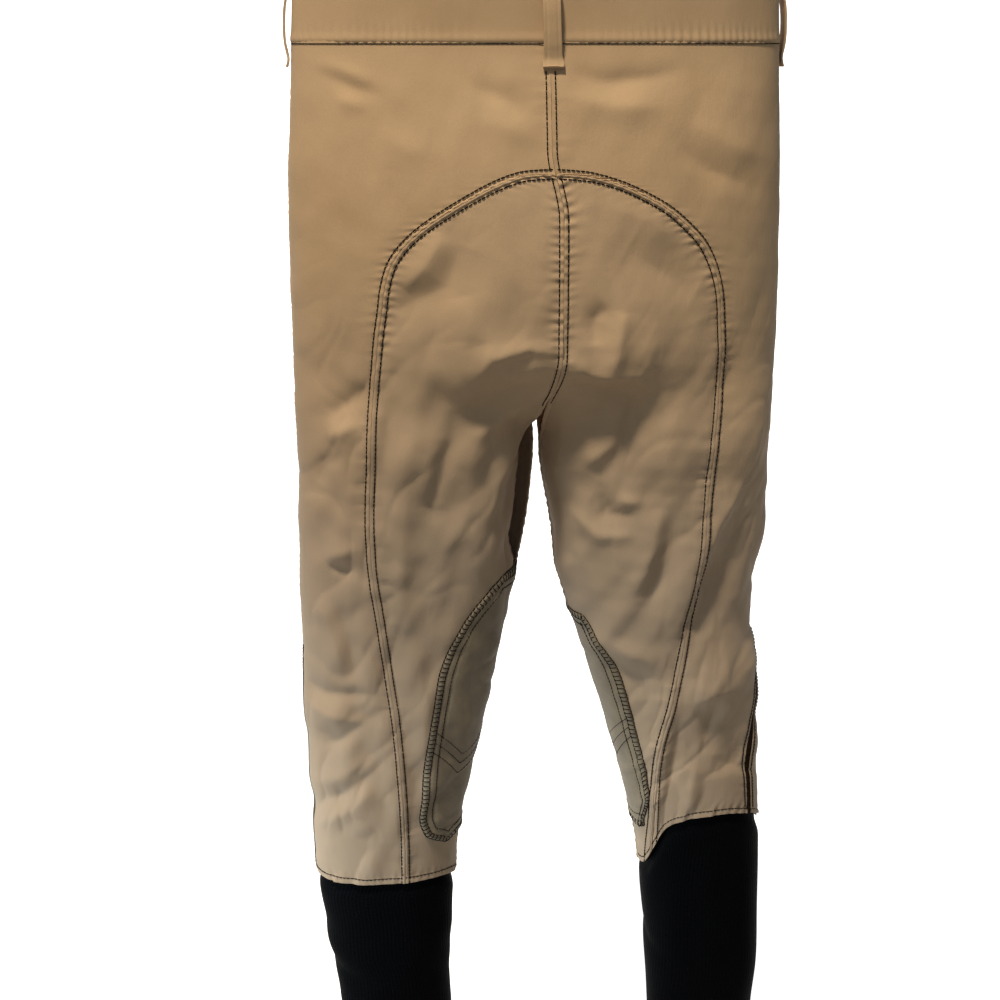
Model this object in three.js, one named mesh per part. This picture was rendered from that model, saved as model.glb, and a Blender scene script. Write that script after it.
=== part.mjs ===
// Riding breeches hung by the waistband: stretch cotton body, suede knee patches, elastic sock cuffs.
// Millimetres, +Z up, +X to the wearer's left, +Y to the wearer's back.
// The origin is the middle of the waistband's top edge.
import * as THREE from 'three';

// ---------- sizes ----------
const TOTAL_LENGTH = 940;        // waistband top to the end of the sock cuffs
const HIP_WIDTH = 370;           // across the hips as the garment hangs
const HIP_DEPTH = 135;           // front to back at the hips
const WAISTBAND_HEIGHT = 42;
const WAISTBAND_THICKNESS = 2.6;
const CLOTH = 1.3;               // one layer of body cloth
const SEAM_GAP = 0.5;            // air between two neighbouring panels
const HEM_LEVEL = -705;          // bottom edge of the body cloth
const CROTCH_LEVEL = -350;
const CROTCH_START = -262;       // where the seat seam starts to turn under
const SOCK_WALL = 1.2;
const SOCK_TOP = -662;           // hidden top edge of the sock cuff
const INSERT_WIDTH = 6.5;        // stretch strip set in the outer seam
const INSERT_TOP = -492;
const PATCH_THICKNESS = 1.2;
const PATCH_LIFT = 1.3;          // glue and seam allowance under the patch
const LOOP_WIDTH = 13;           // belt loop
const LOOP_THICKNESS = 1.6;
const LOOP_STAND = 5.6;          // room for a belt
const LOOP_TOP = -1.6;
const LOOP_FOOT = -WAISTBAND_HEIGHT - 16;
const FLY_HINGE_X = 38.5;        // fold line of the fly flap
const FLY_FREE_X = -3;           // free edge of the fly flap
const FLY_LENGTH = 124;          // fly below the waistband
const FLY_BOTTOM = -WAISTBAND_HEIGHT - FLY_LENGTH;
const FLAP_THICKNESS = 1.6;
const FLAP_LIFT = 0.5;           // flap stands this far in front of the front panels
const ZIP_X = 15;                // middle of the zip
const ZIP_TOP = -WAISTBAND_HEIGHT - 4;
const ZIP_BOTTOM = FLY_BOTTOM + 16;
const ZIP_PITCH = 4;
const FRONT_SLOPE = 10 / 180;    // the front falls forward this much per mm down
const WAIST_FRONT = 48;          // waistband centre front, from the middle

const wide = HIP_WIDTH / 370;
const deep = HIP_DEPTH / 135;
const long = TOTAL_LENGTH / 940;
const LEFT = 1;
const RIGHT = -1;

// ---------- section tables: [level z, value] ----------
const HALF_WIDTH = [[0, 174.5], [-42, 177], [-80, 179.5], [-120, 182], [-160, 184], [-350, 185]];
const BACK_DEPTH = [[0, 50], [-42, 52], [-80, 60], [-120, 68], [-160, 73], [-200, 75], [-240, 75],
  [-280, 73], [-320, 68], [-350, 62], [-420, 58], [-480, 52], [-560, 45], [-650, 40], [-705, 35],
  [-790, 36], [-940, 30]];
const FRONT_DEPTH = [[-200, 59.1], [-240, 60], [-280, 60], [-320, 58], [-350, 55], [-420, 50],
  [-480, 47], [-560, 45], [-650, 42], [-705, 35], [-790, 34], [-940, 30]];
const LEG_INNER = {
  [LEFT]: [[-350, 2.4], [-400, 7], [-470, 23], [-560, 42], [-690, 65], [-750, 70], [-940, 73]],
  [RIGHT]: [[-350, 2.4], [-400, 11], [-450, 19], [-525, 45], [-640, 78], [-690, 90], [-750, 96], [-940, 112]],
};
const LEG_OUTER = {
  [LEFT]: [[-350, 185], [-460, 189], [-600, 186], [-690, 185], [-750, 179], [-840, 167], [-940, 157]],
  [RIGHT]: [[-350, 185], [-400, 186], [-475, 177], [-600, 190], [-690, 197], [-780, 201], [-940, 198]],
};
// Where the hem hangs, by place round the leg: [place, level].
const HEM = {
  [LEFT]: [[0, -714], [0.08, -708], [0.25, -705], [0.5, -704], [0.75, -702], [0.92, -708], [1, -714]],
  [RIGHT]: [[0, -716], [0.06, -711], [0.11, -692], [0.15, -674], [0.21, -662], [0.29, -658],
    [0.4, -667], [0.5, -682], [0.62, -694], [0.75, -702], [0.92, -712], [1, -716]],
};
// Where the outer seam lies round the leg, by level; the right leg hangs a little turned.
const SIDE_PLACE = {
  [LEFT]: [[-440, 0.5], [-705, 0.5]],
  [RIGHT]: [[-440, 0.5], [-500, 0.485], [-560, 0.43], [-610, 0.39], [-705, 0.375]],
};
// The curved seat seam, from the centre back out over the seat and down to the hem: [x, z].
const SEAT_SEAM = {
  [LEFT]: [[0, -129], [14, -129.5], [28, -131.5], [50, -140], [78, -156], [99, -172], [112, -188], [118, -205],
    [121, -224], [124, -244], [127, -274], [130, -312], [132, -350], [133, -382], [132, -423],
    [127, -465], [121, -517], [117, -550], [114, -590], [112, -630], [111, -668], [111, -705]],
  [RIGHT]: [[0, -129], [14, -130], [28, -132], [50, -139], [78, -153], [96, -166], [110, -180], [119, -196],
    [125, -216], [128, -243], [130, -273], [128.5, -310], [126, -350], [124, -382], [122, -420],
    [116, -468], [110, -518], [105, -552], [99, -592], [97, -632], [97.5, -668], [99, -705]],
};
// Where each of those points is tied to the centre line and to the side seam (levels).
const CENTRE_TIES = [-129.5, -135, -142, -153, -169, -186, -203, -220, -236, -252, -280, -314, -350,
  -382, -421, -466, -517, -551, -591, -631, -668, -705];
const SIDE_TIES = [-118, -128, -138, -150, -164, -178, -192, -208, -226, -248, -280, -314, -350, -382,
  -421, -491, -494, -551, -591, -631, -668, -705];
const UPPER_TIES = [[-42, -42], [-72, -68], [-102, -94]];   // [centre back level, side level]

// ---------- small maths ----------
function smooth(x) {
  const c = Math.min(1, Math.max(0, x));
  return c * c * (3 - 2 * c);
}

function mix(a, b, f) {
  return a + (b - a) * f;
}

// Reads a table with a smooth curve through its rows; the first column runs either way.
function look(table, at) {
  const up = table[table.length - 1][0] > table[0][0] ? 1 : -1;
  let k = 0;
  while (k < table.length - 2 && (table[k + 1][0] - at) * up < 0) k += 1;
  const [x0, y0] = table[k];
  const [x1, y1] = table[k + 1];
  const slopeHere = (y1 - y0) / (x1 - x0);
  const before = k > 0 ? table[k - 1] : null;
  const after = k < table.length - 2 ? table[k + 2] : null;
  const m0 = before ? (y1 - before[1]) / (x1 - before[0]) : slopeHere;
  const m1 = after ? (after[1] - y0) / (after[0] - x0) : slopeHere;
  const f = Math.min(1, Math.max(0, (at - x0) / (x1 - x0)));
  const h = x1 - x0;
  const f2 = f * f;
  const f3 = f2 * f;
  return (2 * f3 - 3 * f2 + 1) * y0 + (f3 - 2 * f2 + f) * h * m0
    + (3 * f2 - 2 * f3) * y1 + (f3 - f2) * h * m1;
}

function signedPower(v, p) {
  return Math.sign(v) * Math.abs(v) ** p;
}

// ---------- the garment's surface ----------
const ROUND = 2 / 2.4;   // squareness of the torso and leg sections

function frontDepth(z) {
  if (z > -200) return WAIST_FRONT - FRONT_SLOPE * z;
  return look(FRONT_DEPTH, z / long) * deep;
}

function backDepth(z) {
  return look(BACK_DEPTH, z / long) * deep;
}

// Torso half: t runs from the centre back (0) past the side (0.5) to the centre front (1).
function torsoPoint(t, z) {
  const sine = Math.sin(Math.PI * t) ** ROUND;
  const cosine = signedPower(Math.cos(Math.PI * t), ROUND);
  const depth = cosine > 0 ? backDepth(z) : frontDepth(z);
  return [look(HALF_WIDTH, z / long) * wide * sine, depth * cosine];
}

// Leg: t runs from the inseam (0) round the back and the outside (0.5) and the front (1).
function legPoint(side, t, z) {
  const inner = look(LEG_INNER[side], Math.min(z / long, CROTCH_LEVEL)) * (z < CROTCH_LEVEL * long ? 1 : wide);
  const outer = look(LEG_OUTER[side], Math.min(z / long, CROTCH_LEVEL)) * wide;
  const cosine = signedPower(Math.cos(2 * Math.PI * t), ROUND);
  const sine = signedPower(Math.sin(2 * Math.PI * t), ROUND);
  const depth = sine > 0 ? backDepth(z) : frontDepth(z);
  return [mix(inner, outer, 0.5 - 0.5 * cosine), depth * sine];
}

function section(side, t, z) {
  const turned = smooth((CROTCH_START * long - z) / ((CROTCH_START - CROTCH_LEVEL) * long));
  const around = t - Math.floor(t + 1e-9 > 1 && t < 1.0001 ? 0 : t);
  if (turned >= 1) return legPoint(side, around, z);
  const torso = torsoPoint(Math.min(1, Math.max(0, t)), z);
  if (turned <= 0) return torso;
  const leg = legPoint(side, t, z);
  return [mix(torso[0], leg[0], turned), mix(torso[1], leg[1], turned)];
}

// The hem does not hang level: levels near it follow the HEM table.
function hungLevel(side, t, z) {
  const place = t - Math.floor(t === 1 ? 0 : t);
  const shift = (look(HEM[side], place) - HEM_LEVEL) * long;
  const above = smooth((-560 * long - z) / (145 * long));
  const below = 1 - smooth((HEM_LEVEL * long - z) / (120 * long));
  return z + shift * above * below;
}

// A point of the outer surface, x always away from the middle by at least half a seam gap.
function surface(side, t, z) {
  const level = hungLevel(side, t, z);
  const [x, y] = section(side, t, level);
  return new THREE.Vector3(side * Math.max(x, SEAM_GAP / 2), y, level);
}

function outward(side, t, z) {
  const dt = 0.004;
  const dz = 2;
  const lower = z - dz;
  const upper = Math.min(z + dz, 0);
  const isTorso = z > CROTCH_LEVEL * long;
  const t0 = isTorso ? Math.max(0, t - dt) : t - dt;
  const t1 = isTorso ? Math.min(1, t + dt) : t + dt;
  const along = surface(side, t1, z).sub(surface(side, t0, z));
  const rise = surface(side, t, upper).sub(surface(side, t, lower));
  return new THREE.Vector3().crossVectors(along, rise).multiplyScalar(-side).normalize();
}

// A point lifted off the surface by `lift` mm (minus is inwards).
function lifted(side, t, z, lift) {
  const point = surface(side, t, z).addScaledVector(outward(side, t, z), lift);
  if (side * point.x < SEAM_GAP / 2) point.x = side * SEAM_GAP / 2;
  return point;
}

// The place round the back (or front) of a half where the surface reaches x.
function placeAtX(side, x, z, half) {
  let low = half === 'back' ? 0 : 1;
  let high = 0.5;
  for (let k = 0; k < 34; k += 1) {
    const middle = (low + high) / 2;
    if (side * surface(side, middle, z).x < x) low = middle;
    else high = middle;
  }
  return (low + high) / 2;
}

// ---------- solids ----------
function solid(vertices, faces) {
  let volume = 0;
  for (const [a, b, c] of faces) {
    volume += vertices[a].dot(new THREE.Vector3().crossVectors(vertices[b], vertices[c]));
  }
  const geometry = new THREE.BufferGeometry();
  geometry.setAttribute('position', new THREE.Float32BufferAttribute(vertices.flatMap((v) => v.toArray()), 3));
  geometry.setIndex(faces.flatMap(([a, b, c]) => (volume > 0 ? [a, b, c] : [a, c, b])));
  return geometry;
}

// A thin closed sheet: place(u, v) gives [outer point, inner point].
function sheet(place, cellsU, cellsV, closed = false) {
  const columns = closed ? cellsU : cellsU + 1;
  const rows = cellsV + 1;
  const outer = [];
  const inner = [];
  for (let j = 0; j < rows; j += 1) {
    for (let i = 0; i < columns; i += 1) {
      const [out, into] = place(i / cellsU, j / cellsV);
      outer.push(out);
      inner.push(into);
    }
  }
  const half = outer.length;
  const faces = [];
  const quad = (a, b, c, d) => faces.push([a, b, c], [a, c, d]);
  const at = (i, j) => j * columns + (i % columns);
  for (let j = 0; j < cellsV; j += 1) {
    for (let i = 0; i < cellsU; i += 1) {
      quad(at(i, j), at(i + 1, j), at(i + 1, j + 1), at(i, j + 1));
      quad(half + at(i, j), half + at(i, j + 1), half + at(i + 1, j + 1), half + at(i + 1, j));
    }
  }
  for (let i = 0; i < cellsU; i += 1) {
    quad(at(i + 1, 0), at(i, 0), half + at(i, 0), half + at(i + 1, 0));
    quad(at(i, cellsV), at(i + 1, cellsV), half + at(i + 1, cellsV), half + at(i, cellsV));
  }
  if (!closed) {
    for (let j = 0; j < cellsV; j += 1) {
      quad(at(0, j), at(0, j + 1), half + at(0, j + 1), half + at(0, j));
      quad(at(cellsU, j + 1), at(cellsU, j), half + at(cellsU, j), half + at(cellsU, j + 1));
    }
  }
  return solid([...outer, ...inner], faces);
}

// A closed outline (list of [a, b]) pushed from depth c0 to c1; toSpace(a, b, c) gives the point.
function prism(outline, c0, c1, toSpace) {
  const flat = outline.map(([a, b]) => new THREE.Vector2(a, b));
  if (THREE.ShapeUtils.area(flat) < 0) flat.reverse();
  const caps = THREE.ShapeUtils.triangulateShape(flat, []);
  const count = flat.length;
  const vertices = [];
  for (const c of [c0, c1]) {
    for (const p of flat) vertices.push(toSpace(p.x, p.y, c));
  }
  const faces = [];
  for (const [a, b, c] of caps) faces.push([a, c, b], [count + a, count + b, count + c]);
  for (let k = 0; k < count; k += 1) {
    const next = (k + 1) % count;
    faces.push([k, next, count + next], [k, count + next, count + k]);
  }
  return solid(vertices, faces);
}

// ---------- body panels ----------
// Seat seam points moved sideways by `shift` mm (plus is towards the outside of the garment).
function seatSeam(side, shift) {
  const points = SEAT_SEAM[side].map(([x, z]) => [x * wide, z * long]);
  return points.map(([x, z], k) => {
    const before = points[Math.max(0, k - 1)];
    const after = points[Math.min(points.length - 1, k + 1)];
    const dx = after[0] - before[0];
    const dz = after[1] - before[1];
    const size = Math.hypot(dx, dz);
    const level = Math.max(z + (shift * dx) / size, HEM_LEVEL * long);
    const away = x - (shift * dz) / size;
    return [placeAtX(side, Math.max(away, SEAM_GAP / 2 + 0.01), level, 'back'), level];
  });
}

// Half the width of the opening in the outer seam, as a share of the way round.
function sidePlace(side, z) {
  return look(SIDE_PLACE[side], z / long);
}

function sideSeamShare(side, z) {
  const open = z < (INSERT_TOP + 1) * long ? INSERT_WIDTH / 2 : 0;
  const middle = sidePlace(side, z);
  const perShare = surface(side, middle - 0.01, z).distanceTo(surface(side, middle + 0.01, z)) / 0.02;
  return (open + SEAM_GAP / 2) / perShare;
}

function atRow(list, v) {
  const place = v * (list.length - 1);
  const k = Math.min(list.length - 2, Math.floor(place + 1e-9));
  const f = place - k;
  return list[k].map((value, n) => mix(value, list[k + 1][n], f));
}

// A panel ruled between two edges; each edge row is [place, level].
function ruledPanel(side, first, second, cells, lift = 0, thickness = CLOTH) {
  return sheet((u, v) => {
    const a = atRow(first, v);
    const b = atRow(second, v);
    const t = mix(a[0], b[0], u);
    const z = mix(a[1], b[1], u);
    return [lifted(side, t, z, lift), lifted(side, t, z, lift - thickness)];
  }, cells, first.length - 1);
}

function centreShare(side, z) {
  const perShare = surface(side, 0, z).distanceTo(surface(side, 0.02, z)) / 0.02;
  return SEAM_GAP / 2 / Math.max(perShare, 40);
}

function seatPanel(side) {
  const seam = seatSeam(side, -SEAM_GAP / 2);
  const outer = seam.slice(1);
  const centre = CENTRE_TIES.slice(1).map((z, k) => {
    const level = k === 0 ? seam[0][1] : z * long;
    return [centreShare(side, level), level];
  });
  return ruledPanel(side, centre, outer, 8);
}

function backSidePanel(side) {
  const seam = seatSeam(side, SEAM_GAP / 2);
  const top = -WAISTBAND_HEIGHT - SEAM_GAP;
  const centre = UPPER_TIES.map(([z], k) => {
    const level = k === 0 ? top : z * long;
    return [centreShare(side, level), level];
  });
  const outside = [...UPPER_TIES.map(([, z]) => z), ...SIDE_TIES].map((z, k) => {
    const level = k === 0 ? top : z * long;
    return [sidePlace(side, level) - sideSeamShare(side, level), level];
  });
  return ruledPanel(side, [...centre, ...seam], outside, 9);
}

// The centre-front edge: full width below the fly, cut back to the fold line behind the fly on the left.
function centreFrontX(side, z) {
  if (side === RIGHT) return SEAM_GAP / 2;
  return mix(FLY_HINGE_X + 0.5, SEAM_GAP / 2, smooth((FLY_BOTTOM + 16 - z) / 22));
}

function frontPanel(side) {
  const top = -WAISTBAND_HEIGHT - SEAM_GAP;
  const besideFly = [0, 0.15, 0.35, 0.55, 0.75].map((share) => mix(top, FLY_BOTTOM + 14, share / 0.75));
  const flyEnd = [6, -1, -8].map((rise) => FLY_BOTTOM + rise);
  const below = [-196, -222, -250, -276, -300, -325, -350, -382, -421, -466, -491, -494, -551, -591,
    -631, -668, -705].map((z) => z * long).filter((z) => z < FLY_BOTTOM - 12);
  const edgeLevels = [...besideFly, ...flyEnd, ...below];
  const outside = edgeLevels.map((z) => [sidePlace(side, z) + sideSeamShare(side, z), z]);
  const centre = edgeLevels.map((z) => {
    if (z < CROTCH_START * long) return [1 - centreShare(side, z), z];
    return [placeAtX(side, centreFrontX(side, z) + 0.02, z, 'front'), z];
  });
  return ruledPanel(side, outside, centre, 12);
}

function sideInsert(side) {
  const levels = [INSERT_TOP - 2.5, -551, -591, -631, -668, -705].map((z) => z * long);
  const half = (z) => sideSeamShare(side, z) * ((INSERT_WIDTH - SEAM_GAP) / (INSERT_WIDTH + SEAM_GAP));
  const edge = (sign) => levels.map((z) => [sidePlace(side, z) + sign * half(z), z]);
  return ruledPanel(side, edge(-1), edge(1), 2);
}

// ---------- knee patches ----------
// Half widths of the patch round the leg, back then front of the inseam: [level, x at the back edge].
const PATCH_BACK = {
  [LEFT]: [[-438, 30], [-453, 47], [-478, 66], [-505, 79], [-545, 87], [-622, 96], [-655, 96],
    [-664, 91], [-672, 76]],
  [RIGHT]: [[-478, 34], [-514, 58], [-545, 70], [-580, 79], [-640, 91], [-665, 93], [-672, 90],
    [-675, 87]],
};

function kneePatch(side) {
  const table = PATCH_BACK[side];
  const top = table[0][0] * long;
  const bottom = table[table.length - 1][0] * long;
  const edge = (v, half) => {
    const z = mix(top, bottom, v);
    const x = Math.max(look(table, z / long) * wide, side * surface(side, 0, z).x + 4);
    const share = placeAtX(side, x, z, half);
    return half === 'back' ? share : share - 1;
  };
  return sheet((u, v) => {
    const z = mix(top, bottom, v);
    const t = mix(edge(v, 'front'), edge(v, 'back'), u);
    const foot = PATCH_LIFT + PATCH_THICKNESS;
    return [lifted(side, t, z, foot), lifted(side, t, z, PATCH_LIFT)];
  }, 18, 16);
}

// ---------- leg ends ----------
const HEM_FACING = 0.9;
const LAYER_GAP = 1.5;           // air between two layers whose facets differ
const HEM_FACING_LIFT = -CLOTH - LAYER_GAP;
const SOCK_LIFT = HEM_FACING_LIFT - HEM_FACING - LAYER_GAP + 0.4;

function hemFacing(side) {
  const levels = [-682, -694, HEM_LEVEL + 1.5];
  return sheet((u, v) => {
    const z = atRow(levels.map((level) => [level]), v)[0] * long;
    return [lifted(side, u, z, HEM_FACING_LIFT), lifted(side, u, z, HEM_FACING_LIFT - HEM_FACING)];
  }, 30, levels.length - 1, true);
}

function sockCuff(side) {
  const levels = [SOCK_TOP, -684, HEM_LEVEL, -722, -750, -808, -870, -940];
  return sheet((u, v) => {
    const z = atRow(levels.map((level) => [level]), v)[0] * long;
    const lift = mix(SOCK_LIFT, 0, smooth((HEM_LEVEL * long - 2 - z) / 40));
    const outer = surface(side, u, z);
    const direction = outward(side, u, z);
    direction.z = 0;
    direction.normalize();
    return [outer.clone().addScaledVector(direction, lift),
      outer.clone().addScaledVector(direction, lift - SOCK_WALL)];
  }, 30, levels.length - 1, true);
}

// ---------- waistband ----------
const BAND_OUT = 0.2;
const BAND_BOTTOM = -WAISTBAND_HEIGHT;

// u counts round the waist: minus on the right, plus on the left, 0 at the centre back.
function waistStrip(from, to, cells, lift, thickness, top, bottom) {
  return sheet((u, v) => {
    const place = mix(from, to, u);
    const side = place < 0 ? RIGHT : LEFT;
    const z = mix(top, bottom, v);
    const centre = Math.abs(place) < 1e-6;
    const points = [lift, lift - thickness].map((push) => {
      const point = surface(side, Math.abs(place), z);
      const direction = outward(side, Math.abs(place), z).setZ(0).normalize();
      if (centre) return new THREE.Vector3(0, point.y + push, z);
      return point.addScaledVector(direction, push);
    });
    return points;
  }, cells, 2);
}

const SIDE_SHARE = 0.4985;
const frontRightEnd = () => placeAtX(RIGHT, 5.2, -20, 'front');
const frontLeftEnd = () => placeAtX(LEFT, FLY_HINGE_X + 0.5, -20, 'front');

function waistbandBack() {
  return waistStrip(-SIDE_SHARE, SIDE_SHARE, 28, BAND_OUT, WAISTBAND_THICKNESS, 0, BAND_BOTTOM);
}

function waistbandFront(side) {
  const end = side === LEFT ? frontLeftEnd() : frontRightEnd();
  return waistStrip(side * (1 - SIDE_SHARE), side * end, 13, BAND_OUT, WAISTBAND_THICKNESS, 0, BAND_BOTTOM);
}

function waistbandFacing() {
  const lift = BAND_OUT - WAISTBAND_THICKNESS - 1.2;
  const rightEnd = placeAtX(RIGHT, 16, -20, 'front');
  const leftEnd = placeAtX(LEFT, FLY_HINGE_X + 7, -20, 'front');
  return waistStrip(-rightEnd, leftEnd, 48, lift, 1, -2, BAND_BOTTOM - 6);
}

function beltLoop(side, place) {
  const middle = [[1.1, LOOP_TOP], [1.1, -6], [LOOP_STAND, -12], [LOOP_STAND + 0.8, LOOP_FOOT + 34],
    [LOOP_STAND, LOOP_FOOT + 15], [1.2, LOOP_FOOT + 8], [1.2, LOOP_FOOT]];
  const half = LOOP_THICKNESS / 2;
  const edge = (sign) => middle.map(([d, z], k) => {
    const before = middle[Math.max(0, k - 1)];
    const after = middle[Math.min(middle.length - 1, k + 1)];
    const size = Math.hypot(after[0] - before[0], after[1] - before[1]);
    return [d - (sign * half * (after[1] - before[1])) / size, z + (sign * half * (after[0] - before[0])) / size];
  });
  const outline = [...edge(1), ...edge(-1).reverse()];
  const direction = outward(side, place, -20).setZ(0).normalize();
  const across = new THREE.Vector3(-direction.y, direction.x, 0);
  return prism(outline, -LOOP_WIDTH / 2, LOOP_WIDTH / 2, (d, z, c) => {
    const base = surface(side, place, Math.min(0, z));
    if (place === 0) base.x = 0;
    return new THREE.Vector3(base.x, base.y, z)
      .addScaledVector(direction, d + BAND_OUT)
      .addScaledVector(across, c);
  });
}

// ---------- fly ----------
// A point of the flat front: x, depth behind the front face, level.
function flyPoint(x, depth, z) {
  return new THREE.Vector3(x, -(WAIST_FRONT - FRONT_SLOPE * z) + depth, z);
}

function flyPlate(outline, front, back) {
  return prism(outline, front, back, (x, z, depth) => flyPoint(x, depth, z));
}

function box2(x0, x1, z0, z1) {
  return [[x0, z0], [x1, z0], [x1, z1], [x0, z1]];
}

const FLAP_FRONT = -FLAP_LIFT - FLAP_THICKNESS;

function flyFlap() {
  const top = BAND_BOTTOM - 2;
  const outline = [[FLY_HINGE_X - 0.3, top], [FLY_FREE_X, top], [FLY_FREE_X, FLY_BOTTOM + 6],
    [FLY_FREE_X + 3, FLY_BOTTOM], [6, FLY_BOTTOM], [18, FLY_BOTTOM + 2], [28, FLY_BOTTOM + 8],
    [35, FLY_BOTTOM + 17], [FLY_HINGE_X - 0.3, FLY_BOTTOM + 28]];
  return flyPlate(outline, FLAP_FRONT, -FLAP_LIFT);
}

function waistbandTab() {
  return flyPlate(box2(-9, FLY_HINGE_X - 0.3, BAND_BOTTOM + 0.2, -0.3), -FLAP_LIFT - 2.4, -FLAP_LIFT);
}

function waistbandUnderlap() {
  return flyPlate(box2(-4.2, 32, BAND_BOTTOM, -1), 2.4, 4);
}

function flyShield() {
  const outline = [[-13, BAND_BOTTOM - 8], [33, BAND_BOTTOM - 8], [33, FLY_BOTTOM + 14], [24, FLY_BOTTOM + 2],
    [8, FLY_BOTTOM - 3], [-13, FLY_BOTTOM - 3]];
  return flyPlate(outline, 7.2, 8.4);
}

const TAPE_FRONT = 3.6;
const TAPE_BACK = 4.2;

function zipTape(side) {
  const edge = ZIP_X + side * 3.3;
  const far = side === LEFT ? FLY_HINGE_X + 4 : -8;
  return flyPlate(box2(Math.min(edge, far), Math.max(edge, far), ZIP_BOTTOM - 8, BAND_BOTTOM - 2), TAPE_FRONT, TAPE_BACK);
}

function zipTeeth(side) {
  const root = ZIP_X + side * 3;
  const neck = ZIP_X + side * 1.1;
  const tip = ZIP_X - side * 0.8;
  const outline = [[root, ZIP_TOP], [root, ZIP_BOTTOM], [neck, ZIP_BOTTOM]];
  const first = ZIP_BOTTOM + 1 + (side === LEFT ? 0 : ZIP_PITCH / 2);
  for (let z = first; z < ZIP_TOP - 2; z += ZIP_PITCH) {
    outline.push([neck, z], [tip, z + 0.1], [tip, z + 1.3], [neck, z + 1.4]);
  }
  outline.push([neck, ZIP_TOP]);
  return flyPlate(outline, 2.6, 5.2);
}

function zipSlider() {
  const outline = [[ZIP_X - 5.2, 3.2], [ZIP_X - 5.2, 0.9], [ZIP_X + 5.2, 0.9], [ZIP_X + 5.2, 3.2],
    [ZIP_X + 4, 3.2], [ZIP_X + 4, 2.1], [ZIP_X - 4, 2.1], [ZIP_X - 4, 3.2]];
  return prism(outline, ZIP_TOP - 14, ZIP_TOP - 3, (x, depth, z) => flyPoint(x, depth, z));
}

function zipPull() {
  const top = ZIP_TOP - 5;
  const outline = [[ZIP_X - 2, top], [ZIP_X + 2, top], [ZIP_X + 3, top - 7], [ZIP_X + 2.4, top - 18],
    [ZIP_X - 2.4, top - 18], [ZIP_X - 3, top - 7]];
  return flyPlate(outline, -0.2, 0.6);
}

function zipStop() {
  return flyPlate(box2(ZIP_X - 4, ZIP_X + 4, ZIP_BOTTOM - 5.5, ZIP_BOTTOM - 1), 2.2, 3.3);
}

const HOOK_LEVELS = { upper: -0.31 * WAISTBAND_HEIGHT, lower: -0.71 * WAISTBAND_HEIGHT };

function hook(level) {
  const outline = [[20, -0.2], [20, 0.4], [7, 0.4], [7, 1.2], [9.5, 1.2], [9.5, 1.7], [6.2, 1.7], [6.2, -0.2]];
  return prism(outline, level - 4.5, level + 4.5, (x, depth, z) => flyPoint(x, depth, z));
}

function hookBar(level) {
  const outline = [[-6.5, 2.1], [-6.5, 1.6], [-4, 1.6], [-3.4, 0.8], [3.4, 0.8], [4, 1.6], [6.5, 1.6],
    [6.5, 2.1], [3.6, 2.1], [3, 1.3], [-3, 1.3], [-3.6, 2.1]];
  return prism(outline, 10.6, 12.6, (rise, depth, x) => flyPoint(x, depth, level + rise));
}

// ---------- pockets ----------
function strip(side, from, to, lift, thickness, cells, rows) {
  return sheet((u, v) => {
    const [z, x0, x1] = [mix(from[0], to[0], v), mix(from[1], to[1], v), mix(from[2], to[2], v)];
    const t = placeAtX(side, mix(x0, x1, u) * wide, z, 'front');
    return [lifted(side, t, z, lift), lifted(side, t, z, lift - thickness)];
  }, cells, rows);
}

function pocketWelt(side) {
  return strip(side, [BAND_BOTTOM - 24, 128, 138], [BAND_BOTTOM - 144, 158, 167], 2.1, 1.1, 2, 8);
}

function pocketBag(side) {
  return strip(side, [BAND_BOTTOM - 16, 62, 126], [BAND_BOTTOM - 154, 70, 150], -CLOTH - 1.9, 1.4, 6, 8);
}

function sizeLabel() {
  return waistStrip(-0.055, 0.055, 4, BAND_OUT - WAISTBAND_THICKNESS - 3.1, 0.6, -8, -34);
}

// ---------- colours and assembly ----------
const COLOURS = {
  cloth: 0xa88e6c, patch: 0x7d786a, sock: 0x0b0c10, insert: 0x2a1d14, facing: 0x8f8064,
  tape: 0x6f6350, metal: 0x8b8d90, label: 0xe4e0d6,
};

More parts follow.
